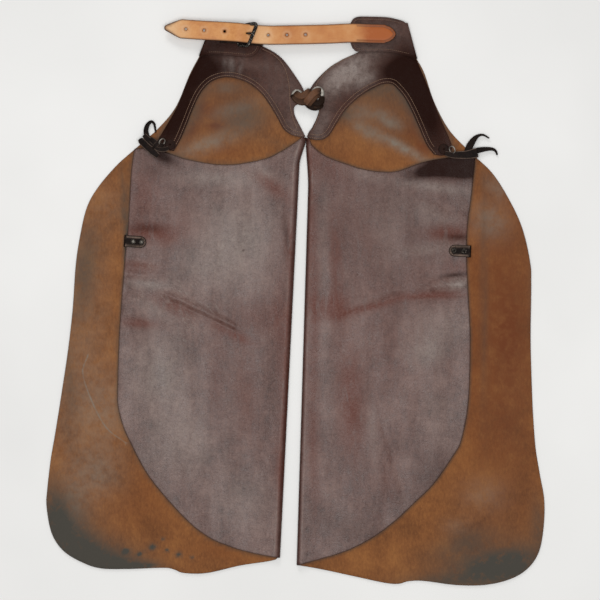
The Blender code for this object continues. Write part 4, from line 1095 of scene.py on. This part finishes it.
# Black latigo, stuffed with oil: almost no gloss, brown where it is rubbed, and with pale highlights
# painted along its thongs
black_grain = smooth_leather("black_oiled_leather", "#0c0908", "#17100e", "#2c201b", "#3a2620",
                             "#8a7568", "#070505", 0.55, gloss=0.06, grain=0.2)
# Soft latigo lace, cut and stretched: brown; its knot is painted paler on its higher turns, with pale
# highlights on their corners, and darker low down and on its lower strands as shade
lace_leather = smooth_leather("worn_brown_lace_leather", "#24150f", "#3f281b", "#5e3f2b", "#6e4a33",
                              "#8f7360", "#20150f", 0.5, gloss=0.25, grain=0.2)
# Forged iron, blackened hot in oil: black, with bare grey metal on its high spots
black_iron = worn_metal("blackened_iron", "#0f0e0e", "#9a938a", 0.4, 0.9, 2.4)
# Stamped brass, nickel plated and gone dull: soft grey
nickel = worn_metal("dull_nickel_plate", "#8d8881", "#b3aea6", 0.55, 1.0, 14.0)
# Stamped brass, blackened in a bath: dark brown-grey
snap_cap = worn_metal("blackened_snap_cap", "#1b1816", "#6a6259", 0.42, 0.9, 1.6)
brown_thread = waxed_thread("brown_waxed_thread", "#a5866f")
dark_thread = waxed_thread("dark_waxed_thread", "#5a2f1a")


# The legs

def flap_rise(side):
    """How far one flap stands over its resting level at points of the plan."""
    creases = [(rise, half, sharp, smooth_curve(line, 8)) for rise, half, sharp, line in CREASES[side]]

    def rise(points):
        height = 0.35 * ripple(points, 3, 120) + 0.12 * ripple(points, 4, 34) + 0.05 * ripple(points, 5, 15)
        for amount, half, sharp, line in creases:
            away, along, length = distance(points, line)
            fade = smooth_step(np.minimum(along, length - along) / (0.22 * length) + 0.25)
            height += CREASE_RISE * amount * fade * np.exp(-(away / half) ** sharp)
        for x, y, radius, amount in LIFTS[side]:
            away = np.hypot(points[:, 0] - x, points[:, 1] - y)
            height += amount * (1 - smooth_step(away / radius))
        return np.maximum(height, -0.85)

    return rise


def make_leg(side):
    """One leg: its front panel lies suede up, and its back flap is folded over it, grain up."""
    edges = LEGS[side]
    toward = -1 if side == "left" else 1
    fold = Fold(edges["fold"], toward, radius=3.9, base=0.0, settle=45.0, rest_top=FLAP_TOP,
                roll=FOLD_ROLLS[side])
    low, high, amount = edges["crotch_shift"]
    x = edges["fold"][1][0]
    low_v, high_v = fold.lower([(x, low), (x, high)])[:, 1]
    fold.shift = (low_v, high_v, amount)
    rise = flap_rise(side)
    wing = smooth_curve(edges["wing"], 4.0)

    def swell(points):
        away = distance(points, wing)[0]
        lift = (0.55 + 0.6 * ripple(points, 21, 110)) * (1 - smooth_step(away / 42))
        low_enough = 1 - smooth_step((points[:, 1] - 120) / 60)
        return np.maximum(lift, 0.0) * low_enough

    waist, flap_top, flap_side = (smooth_curve(edges[name], 4.0)
                                  for name in ("waist", "flap_top", "flap_side"))
    flap_edge = np.vstack([flap_top, flap_side[1:]])
    front = fold.lower(np.vstack([wing, waist[::-1]]))
    back = fold.upper(flap_edge)
    front = front[front[:, 0] > fold.radius + 2]
    back = back[back[:, 0] < fold.bend_end - 2]
    hem_v = fold.lower(edges["flap_side"][-1])[0, 1]
    crotch_v = fold.lower(edges["waist"][0])[0, 1]
    bend = np.linspace(fold.radius, fold.bend_end, 13)
    outline = single_corners(np.vstack([front, [(s, crotch_v) for s in bend], back,
                                        [(s, hem_v) for s in bend[::-1]]]))

    holes = [round_outline(fold.lower(EYELETS[side][0])[0], EYELET_CUT)]
    yoke_edge = np.vstack([smooth_curve(YOKES[side][part], 4.0) for part in ("arch", "hip")])
    hip_edge = smooth_curve(YOKES[side]["outer"], 4.0)
    scratch = smooth_curve(SCRATCHES[side], 3.0) if side in SCRATCHES else None
    flap_outline = np.vstack([flap_edge, fold.on_plan(np.zeros(2), np.array([0.0, crotch_v]))])
    roll = FOLD_ROLLS[side][0]

    def marks_of(flat, outer):
        plan = outer[:, :2]
        flap, under = marks_at(plan, FLAP_MARKS[side]), marks_at(plan, SUEDE_MARKS[side])
        # Painted shadow: the suede is darkened along the edges of whatever lies on it, and the flap's face
        # just inside its own edge
        for line, reach, amount in ((flap_edge, 3.0, 0.75), (yoke_edge, 2.2, 0.2), (hip_edge, 6.5, 0.6)):
            under[DARKENING_AND_SHADE] += amount * np.exp(-(distance(plan, line)[0] / reach) ** 2)
        flap[DARKENING_AND_SHADE] += 0.3 * np.exp(-(distance(plan, flap_edge)[0] / 1.8) ** 2)
        # The roll of the fold is painted: dark red-brown shade on its flank, where it turns down, and a
        # pale highlight along its crest
        beyond = fold.bend_end - flat[:, 0]
        flap[DARKENING_AND_SHADE] += 0.6 * (1 - smooth_step((beyond + 2.0) / 3.0))
        flap[WORN] += 0.4 * (1 - smooth_step((beyond - 1.0) / 6.0))
        flap[PALING_AND_SHEEN] += 0.8 * np.exp(-((beyond - 0.3 * roll - 1.0) / (0.12 * roll + 0.7)) ** 2)
        if scratch is not None:
            under[PALING_AND_SHEEN] += 0.6 * np.exp(-(distance(plan, scratch)[0] / 0.9) ** 2)
        return flap, under

    def height(places):
        spots = fold.place(places, rise, swell)
        on_top = places[:, 0] < fold.bend_end
        grain = marks_at(spots[:, :2], FLAP_MARKS[side])
        flesh = marks_at(spots[:, :2], SUEDE_MARKS[side])
        drawn = sum(np.where(on_top, grain[kind], flesh[kind]) for kind in grain)
        return spots[:, 2] + MARK_RELIEF * drawn

    rows = [fold.lower(side_row(line, away)) for line, away in (
        (flap_edge, -3), (flap_edge, 0), (flap_edge, 3), (flap_edge, 6),
        (yoke_edge, 0), (yoke_edge, -3), (yoke_edge, 3), (hip_edge, 0), (hip_edge, 5), (hip_edge, -5))]
    if scratch is not None:
        rows += [fold.lower(side_row(scratch, away)) for away in (-2.0, 0.0, 2.0)]
    rows = [row[row[:, 0] > fold.radius + 2] for row in rows]
    rows += [fold.upper(inset_line(flap_edge, depth, flap_outline)) for depth in (1.6, 3.4)]
    # Rows along the roll of the fold
    straight = np.arange(3.0, crotch_v - 3.0, 5.0)
    rows += [np.column_stack([np.full(len(straight), fold.bend_end - depth), straight])
             for depth in (1.2, 2.4, 3.6, 5.0, 6.5, 8.5, 11.0)]
    rows = [row[row[:, 1] > 3.0] if row[0, 0] < fold.bend_end else row for row in rows]
    inner = pattern_points(outline, holes, height, fold, rows)
    leg = leather_sheet(side + "_leg_hide", outline, holes, inner,
                        lambda flat: fold.place(flat, rise, swell), HIDE_THICKNESS,
                        [chap_grain, chap_suede, hide_edge], marks_of)
    stand_for(leg, side + "_leg")


# The yokes

def make_yoke(side):
    """One yoke: the smooth facing round the arch, stitched down, with its belt end folded over."""
    edges = YOKES[side]
    toward = 1 if side == "left" else -1
    fold = Fold(edges["fold"], toward, radius=3.5, base=YOKE_BASE, settle=13.0, rest_top=BELT_END_TOP)
    curve = {name: smooth_curve(edges[name], 3.5) for name in ("arch", "hip", "outer", "belt_end")}
    waist = smooth_curve(LEGS[side]["waist"], 3.5)
    tip = np.array(edges["tip"][0], float)
    waist = np.vstack([tip, waist[waist[:, 1] > tip[1] + 5]])
    front = fold.lower(np.vstack([curve["arch"][:-1], curve["hip"][:-1], curve["outer"]]))
    front = front[front[:, 1] < -1.5]
    top = fold.lower(waist[::-1])
    top = top[top[:, 0] > fold.radius + 1.5]
    end = fold.upper(curve["belt_end"])
    end = end[end[:, 0] < fold.bend_end - 1.5]
    bend = np.linspace(fold.radius, fold.bend_end, 13)
    high_v = (top[0, 1] + end[0, 1]) / 2 - 1
    outline = single_corners(np.vstack([front, [(s, 0.0) for s in bend], end[::-1],
                                        [(s, high_v) for s in bend[::-1]], top]))

    # Rows of stitching, on the plan: two along the arch, one along the waist and two at the hip
    body = np.vstack([curve["arch"], curve["hip"], curve["outer"], waist[::-1]])
    seams = [inset_line(curve["arch"], 2.6, body), inset_line(curve["arch"], 8.4, body),
             smooth_curve(edges["waist_seam"], 3.5), inset_line(curve["outer"], 3.2, body),
             inset_line(curve["outer"], 8.6, body)]
    belt = curve["belt_end"]
    belt_seam = inset_line(belt, 4.6, belt)
    eyelet, flange = EYELETS[side]
    seams = [seam[np.hypot(*(seam - eyelet).T) > flange + 1.5] for seam in seams]
    seams = [seam[fold.lower(seam)[:, 0] > fold.radius + 8] if len(seam) else seam for seam in seams]
    pattern_seams = [fold.lower(seam) for seam in seams if len(seam) > 3] + [fold.upper(belt_seam)]

    def groove(places):
        depth = np.zeros(len(places))
        for seam in pattern_seams:
            away = distance(places, seam)[0]
            depth = np.maximum(depth, np.exp(-(away / 1.2) ** 2))
        return depth

    def place(flat):
        spot = fold.place(flat, level, level)
        rim = distance(flat, outline, closed=True)[0]
        # The stitched leather is drawn down at its rim and in the grooves of its seams
        spot[:, 2] += 0.45 * (1 - np.exp(-rim / 2.2)) - 0.55 * groove(flat)
        spot[:, 2] += 0.16 * ripple(spot[:, :2], 31, 46) * (1 - np.exp(-rim / 6))
        return spot

    rows = []
    for seam in pattern_seams:
        flank = leftward(seam) * 1.3
        rows += [seam, seam + flank, seam - flank]
    holes = [round_outline(fold.lower(eyelet)[0], EYELET_CUT)]
    inner = pattern_points(outline, holes, lambda p: place(p)[:, 2], fold, rows, coarse=6.0, sag=0.05)

    def marks_of(flat, outer):
        found = marks_at(outer[:, :2], YOKE_MARKS[side])
        return found, found

    yoke = leather_sheet(side + "_yoke_facing", outline, holes, inner, place, YOKE_THICKNESS,
                         [yoke_grain, yoke_grain, hide_edge], marks_of)
    stand_for(yoke, side + "_yoke")

    parts = []
    for seam in seams:
        if len(seam) > 3:
            parts += stitches(seam, lambda p: np.full(len(p), YOKE_TOP + 0.05), 3.6, 2.9, 0.9)
    parts += stitches(belt_seam, lambda p: np.full(len(p), BELT_END_TOP + 0.05), 3.6, 2.6, 0.6)
    points, faces = joined(parts)
    thread = mesh_piece(side + "_yoke_stitching", points, faces, [brown_thread])
    take_along(thread)


# The strap, its buckle and its chape

def make_strap():
    """The billet strap: tan, with dyed edges, punched holes and a stitched end."""
    line = smooth_curve(STRAP_LINE, 2.0)
    steps = np.linalg.norm(np.diff(line[:, :2], axis=0), axis=1)
    runs = np.concatenate([[0], np.cumsum(steps)])
    length = runs[-1]
    ahead = direction(line[:, :2])

    tip = np.array(STRAP_TIP, float)
    butt = np.array([(length - away, out) for away, out in STRAP_BUTT])
    half = np.vstack([spaced(tip, 1.5), spaced(np.array([tip[-1], butt[0]]), 3.0), spaced(butt, 1.5)])
    outline = np.vstack([[(0, 0)], half, [(length, 0)], half[::-1] * (1, -1)])
    holes = [round_outline((at, 0), STRAP_HOLE_RADIUS) for at in STRAP_HOLES]
    start, end, slot = TONGUE_SLOT
    oblong = round_outline((0, 0), slot)
    oblong[:, 0] += np.where(oblong[:, 0] > 0, end - slot, start + slot)
    holes.append(oblong)
    seam = inset_line(outline[outline[:, 0] > length - STRAP_SEAM_LENGTH], 3.4, outline)

    def place(flat):
        spot = np.column_stack([np.interp(flat[:, 0], runs, line[:, k]) for k in range(3)])
        way = np.column_stack([np.interp(flat[:, 0], runs, ahead[:, k]) for k in range(2)])
        spot[:, 0] -= way[:, 1] * flat[:, 1]
        spot[:, 1] += way[:, 0] * flat[:, 1]
        rim = distance(flat, outline, closed=True)[0]
        spot[:, 2] += STRAP_THICKNESS - 0.7 * np.exp(-rim / 1.6)
        for hole in holes:
            spot[:, 2] -= 0.7 * np.exp(-distance(flat, hole, closed=True)[0] / 1.3)
        spot[:, 2] -= 0.55 * np.exp(-(distance(flat, seam)[0] / 1.1) ** 2)
        spot[:, 2] += 0.10 * ripple(flat, 41, 30)
        return spot

    rings = [round_outline((at, 0), STRAP_HOLE_RADIUS + out, 20)
             for at in STRAP_HOLES for out in (1.2, 2.6)]
    rims = [inset_line(np.vstack([outline, outline[:1]]), depth, outline) for depth in (1.1, 2.4)]
    inner = pattern_points(outline, holes, lambda p: place(p)[:, 2], rows=[seam, *rings, *rims],
                           coarse=4.0, sag=0.05)

    def marks_of(flat, outer):
        x = outer[:, 0]
        # Bent red at the buckle, handled dark over the butt and bleached towards the tip
        dusty = 0.9 * np.exp(-((x + 222) / 26) ** 2) + 0.5 * np.exp(-((x + 60) / 20) ** 2)
        worn = (0.25 * np.exp(-((x + 88) / 16) ** 2) + 0.9 * smooth_step((x - 100) / 40)
                + 0.35 * smooth_step((x + 60) / 60))
        sooty = np.zeros(len(outer))
        for at in list(STRAP_HOLES) + [150]:
            spot = np.array([np.interp(at, runs, line[:, 0]), np.interp(at, runs, line[:, 1])])
            away = np.hypot(*(outer[:, :2] - spot).T)
            worn += 0.5 * np.exp(-((away - 3.6) / 2.2) ** 2)
            dusty += 0.4 * np.exp(-((away - 6.0) / 2.0) ** 2)
            sooty += 0.5 * np.exp(-((away - STRAP_HOLE_RADIUS) / 0.9) ** 2)
        # Edge dye creeps onto the face, further at the tip
        rim = distance(flat, outline, closed=True)[0]
        reach = 1.1 + 1.5 * smooth_step((30 - flat[:, 0]) / 25)
        sooty += 1.1 * np.exp(-(rim / reach) ** 2)
        sooty += 0.7 * np.exp(-(distance(flat, seam)[0] / 1.2) ** 2)
        marks = {WORN: worn, PALING_AND_SHEEN: dusty, DARKENING_AND_SHADE: sooty}
        return marks, marks

    strap = leather_sheet("billet_strap_leather", outline, holes, inner, place, STRAP_THICKNESS,
                          [strap_grain, strap_grain, strap_edge], marks_of, round_edge=0.45)
    stand_for(strap, "billet_strap")
    row = spaced(place(seam), 3.4)
    order = np.argsort(row[:, 0])
    parts = stitches(row[:, :2], lambda p: np.interp(p[:, 0], row[order, 0], row[order, 2]) + 0.1,
                     3.4, 2.5, 0.7)
    points, faces = joined(parts)
    take_along(mesh_piece("strap_stitching", points, faces, [dark_thread]))


def make_buckle():
    """The blackened iron buckle: a squared wire frame and its tongue."""
    sides = 96
    turn = 2 * math.pi * (np.arange(sides) + 0.5) / sides
    along = np.sign(np.cos(turn)) * np.abs(np.cos(turn)) ** BUCKLE_SQUARENESS
    across = np.sign(np.sin(turn)) * np.abs(np.sin(turn)) ** BUCKLE_SQUARENESS
    share = ((1 + along) / 2)[:, None]
    loop = np.array(HEEL_BAR) * (1 - share) + np.array(FRONT_BAR) * share
    loop[:, 0] += FRONT_BAR_LEAN * share[:, 0] * across
    loop[:, 1] += (HEEL_HALF_WIDTH + (BUCKLE_HALF_WIDTH - HEEL_HALF_WIDTH) * share[:, 0]) * across
    loop = spaced(np.vstack([loop, loop[:1]]), 1.6)
    normal = np.cross(np.array(FRONT_BAR) - np.array(HEEL_BAR), (0, 1, 0))
    wide = BUCKLE_WIRE + 1.6 * smooth_step((loop[:, 0] + 90) / 10)
    points, faces = sweep(loop, wide, BUCKLE_WIRE - 0.4, up=normal, closed=True, sides=16)
    frame = mesh_piece("buckle_frame_iron", points, faces, [black_iron])
    stand_for(frame, "buckle_frame")

    line = smooth_curve(TONGUE_LINE, 0.8)
    taper = np.linspace(3.9, 2.7, len(line))
    points, faces = sweep(line, taper, taper * 0.85, up=(0, 1, 0), sides=12)
    tongue = mesh_piece("buckle_tongue_iron", points, faces, [black_iron])
    stand_for(tongue, "buckle_tongue")


def black_tab(name, fold, outline, thickness, node, rim_line=0.0):
    """A small black leather strip that goes round a fold, with a paler line inside its rim."""
    def place(flat):
        spot = fold.place(flat, level, level)
        rim = distance(flat, outline, closed=True)[0]
        spot[:, 2] -= np.where(flat[:, 0] < fold.bend_end, 0.3 * np.exp(-rim / 0.9), 0.0)
        return spot

    closed = np.vstack([outline, outline[:1]])
    rows = [inset_line(closed, depth, outline) for depth in (1.2, 2.2, 3.2)]
    rows = [row[row[:, 0] < fold.bend_end - 1.5] for row in rows]
    inner = pattern_points(outline, [], lambda p: place(p)[:, 2], fold, rows, coarse=3.0, sag=0.03)

    def marks_of(flat, outer):
        rim = distance(flat, outline, closed=True)[0]
        line = rim_line * np.exp(-((rim - 2.2) / 0.8) ** 2) * (flat[:, 0] < fold.bend_end)
        marks = {WORN: 0 * rim, PALING_AND_SHEEN: line, DARKENING_AND_SHADE: 0 * rim}
        return marks, marks

    tab = leather_sheet(name, outline, [], inner, place, thickness,
                        [black_grain, black_grain, black_grain], marks_of, round_edge=0.25)
    stand_for(tab, node)


def make_chape():
    """The chape: a black strip folded round the buckle's heel bar and sewn down."""
    base = BELT_END_TOP + GAP
    radius = BUCKLE_WIRE / 2 + GAP + 0.2 + THIN_LEATHER
    fold = Fold(CHAPE_FOLD, -1, radius, base, settle=20.0, rest_top=base + 2 * THIN_LEATHER + GAP)
    width = np.linalg.norm(np.subtract(*CHAPE_FOLD))
    far = fold.bend_end - (CHAPE_LENGTH - radius)
    # Its upper leg is wider and dips towards the hem
    wider = fold.bend_end - 10
    rows = np.concatenate([[CHAPE_LENGTH], np.linspace(radius, fold.bend_end, 13), [wider, far]])
    low = np.interp(rows, [far, wider, fold.bend_end, radius], [-6.5, -5.5, 0.0, 0.0])
    outline = np.vstack([np.column_stack([rows, low]), [(s, width) for s in rows[::-1]]])
    black_tab("buckle_chape_leather", fold, outline, THIN_LEATHER, "buckle_chape", 0.4)


# Snap tabs, eyelets, rosettes, rings, thongs and lace

def make_snap_tab(side):
    """A black tab wrapped over the flap's edge, with two snaps."""
    tab = SNAP_TABS[side]
    toward = 1 if side == "left" else -1
    under = HIDE_THICKNESS + GAP
    top = FLAP_TOP + 1.6 + GAP + THIN_LEATHER
    radius = (top - under) / 2
    fold = Fold(tab["fold"], toward, radius, under, settle=5.0, rest_top=top)
    width = np.linalg.norm(np.subtract(*tab["fold"]))
    half = width / 2
    middle = fold.bend_end - (SNAP_TAB_LENGTH - radius) + half
    turns = np.linspace(0, math.pi, 19)
    bend = np.linspace(radius, fold.bend_end, 13)
    end = np.column_stack([middle - half * np.sin(turns), half - half * np.cos(turns)])
    outline = np.vstack([[(SNAP_TAB_UNDER, 0)], [(s, 0) for s in bend], end,
                         [(s, width) for s in bend[::-1]], [(SNAP_TAB_UNDER, width)]])
    black_tab(side + "_snap_tab_leather", fold, outline, THIN_LEATHER, side + "_snap_tab", 1.3)
    profile = ((0.0, 1.8), (1.2, 1.7), (2.1, 1.3), (2.6, 0.75), (3.2, 0.6), (3.8, 0.95), (4.3, 0.9),
               (4.6, 0.45), (4.6, 0.0), (0.0, 0.0))
    for number, at in enumerate(tab["snaps"]):
        centre = fold.start + fold.inward * at + fold.along * half
        points, faces = turned(profile, centre, top + GAP)
        node = "%s_snap_%d" % (side, number + 1)
        dome = nickel if tab["cap"] == "bright" else snap_cap
        slots = [0 if k % len(profile) < 2 else 1 for k in range(len(faces))]
        stand_for(mesh_piece(node + "_cap", points, faces, [dome, snap_cap], slots), node)


def make_eyelet(side):
    """A rolled nickel eyelet."""
    centre, outer = EYELETS[side]
    span = outer - EYELET_HOLE
    rolled = ((0, 0.3), (0.08, 0.95), (0.25, 1.35), (0.5, 1.4), (0.75, 1.15), (0.94, 0.6), (1, 0.1))
    profile = [(EYELET_HOLE + share * span, rise) for share, rise in rolled]
    profile += [(outer - 0.3, 0.0), (EYELET_HOLE, 0.0)]
    points, faces = turned(profile, centre, YOKE_TOP + GAP)
    stand_for(mesh_piece(side + "_eyelet_nickel", points, faces, [nickel]), side + "_eyelet")


def make_rosette(side):
    """A leather rosette of the hip tie: a domed disc with a scalloped rim."""
    centre = ROSETTES[side]
    profile = ((0.0, 2.0), (3.0, 1.95), (4.6, 1.55), (5.4, 1.9), (7.2, 1.8), (8.6, 1.3), (9.4, 0.5),
               (9.4, 0.0), (0.0, 0.0))
    points, faces = turned(profile, centre, YOKE_TOP + GAP, 60)
    off = points[:, :2] - centre
    angle = np.arctan2(off[:, 1], off[:, 0])
    radius = np.hypot(*off.T)
    scallop = 1 + 0.035 * np.cos(12 * angle) * smooth_step((radius - 6) / 3)
    points[:, :2] = np.array(centre) + off * scallop[:, None]
    marks = {WORN: 0.5 * np.ones(len(points)), PALING_AND_SHEEN: 0.0 * radius, DARKENING_AND_SHADE: 0.0 * radius}
    piece = mesh_piece(side + "_rosette_leather", points, faces, [black_grain], marks=marks)
    stand_for(piece, side + "_rosette")


def make_tie_ring(side):
    """A nickelled iron ring, tilted up from the yoke and then turned on the plan."""
    centre, turn, tilt = TIE_RINGS[side]
    radius, wire = 6.2, 2.4
    angle = np.arange(48) * 2 * math.pi / 48
    flat = np.column_stack([radius * np.cos(angle), radius * np.sin(angle), 0 * angle])
    ct, st = math.cos(math.radians(tilt)), math.sin(math.radians(tilt))
    cz, sz = math.cos(math.radians(turn)), math.sin(math.radians(turn))
    lean = np.array([[1, 0, 0], [0, ct, -st], [0, st, ct]])
    swivel = np.array([[cz, -sz, 0], [sz, cz, 0], [0, 0, 1]])
    lift = radius * st + wire / 2
    line = flat @ lean.T @ swivel.T + (*centre, YOKE_TOP + GAP + lift)
    points, faces = sweep(line, wire, wire, up=swivel @ np.array([0, -st, ct]), closed=True, sides=12,
                          square=1.0)
    ring = mesh_piece(side + "_tie_ring_iron", points, faces, [nickel])
    stand_for(ring, side + "_tie_ring")


def thong_marks(points, rubbed):
    """Marks of a thong: the two upper corners of its section are painted pale, as highlights."""
    corner = np.isin(np.arange(len(points)) % THONG_SIDES, THONG_CORNERS)
    return {WORN: 0.0 * corner, PALING_AND_SHEEN: rubbed * corner, DARKENING_AND_SHADE: 0.0 * corner}


def make_thongs():
    """The black thongs of the hip ties, and the knot of the left one."""
    for name, rows in THONGS.items():
        line = smooth_curve(rows, 1.5)
        points, faces = sweep(line[:, :3], line[:, 3], THONG_THICKNESS, sides=THONG_SIDES, square=0.45)
        marks = thong_marks(points, 1.2 if "band" in name or "loop" in name else 0.0)
        piece = mesh_piece(name + "_leather", points, faces, [black_grain], marks=marks)
        stand_for(piece, name)
    parts = []
    for rows in TIE_KNOT:
        line = smooth_curve(rows, 1.5)
        parts.append(sweep(line[:, :3], line[:, 3], 1.6 * THONG_THICKNESS, sides=THONG_SIDES, square=0.6))
    points, faces = joined(parts)
    knot = mesh_piece("left_tie_knot_leather", points, faces, [black_grain],
                      marks=thong_marks(points, 0.7))
    take_along(knot)


def make_lace():
    """The knotted lace between the two eyelets."""
    parts = []
    strand_grime_and_shade = []
    for rows, width, thickness, darkened_and_shaded in LACE_STRANDS:
        line = smooth_curve(rows, 1.2)
        parts.append(sweep(line, width, thickness, sides=THONG_SIDES, square=0.75))
        strand_grime_and_shade.append(np.full(len(parts[-1][0]), darkened_and_shaded))
    points, faces = joined(parts)
    # Painted light on the knot: highlights on the upper corners of its higher turns, a lighter tone higher
    # up, and painted shade low down and on the darker strands
    rubbed = np.isin(np.arange(len(points)) % THONG_SIDES, (2, 5)) * (points[:, 2] > 10)
    low = 1 - smooth_step((points[:, 2] - 6) / 5)
    marks = {WORN: 0.8 * smooth_step((points[:, 2] - 11) / 4), PALING_AND_SHEEN: 0.5 * rubbed,
             DARKENING_AND_SHADE: 0.6 * low + np.concatenate(strand_grime_and_shade)}
    piece = mesh_piece("front_lace_knot", points, faces, [lace_leather], marks=marks)
    stand_for(piece, "front_lace")


def area_light(name, place, aim, size, power):
    """A soft light box that shines from a place at a point."""
    data = bpy.data.lights.new(name, "AREA")
    data.shape = "RECTANGLE"
    data.size, data.size_y = size
    data.energy = power
    light = bpy.data.objects.new(name, data)
    light.location = place
    light.rotation_euler = (Vector(aim) - Vector(place)).to_track_quat("-Z", "Y").to_euler()
    bpy.context.scene.collection.objects.link(light)


for leg_side in ("left", "right"):
    make_leg(leg_side)
    make_yoke(leg_side)
    make_eyelet(leg_side)
    make_snap_tab(leg_side)
    make_rosette(leg_side)
    make_tie_ring(leg_side)
make_strap()
make_chape()
make_buckle()
make_thongs()
make_lace()


# The cloth, the light and the camera

corners = [(x * FLOOR_REACH, y * FLOOR_REACH, -GAP) for x, y in ((-1, -1), (1, -1), (1, 1), (-1, 1))]
floor = mesh_piece("floor", corners, [(0, 1, 2, 3)], [cotton_cloth()])

world = bpy.data.worlds.new("studio")
world.use_nodes = True
sky = world.node_tree.nodes["Background"]
sky.inputs["Color"].default_value = colour("#f1efec")
sky.inputs["Strength"].default_value = 0.42
bpy.context.scene.world = world
area_light("ceiling", (0.0, -0.25, 3.2), (0.0, -0.25, 0.0), (2.4, 1.9), 62)
area_light("window", (-0.6, 3.0, 1.9), (0.0, 0.1, 0.0), (1.2, 1.2), 26)

camera_data = bpy.data.cameras.new("camera")
camera_data.sensor_width = 36.0
camera_data.lens = camera_data.sensor_width * CAMERA_HEIGHT / FRAME_WIDTH
camera = bpy.data.objects.new("camera", camera_data)
camera.location = (*FRAME_MIDDLE, CAMERA_HEIGHT)
bpy.context.scene.collection.objects.link(camera)
bpy.context.scene.camera = camera
bpy.context.scene.view_settings.view_transform = "Standard"
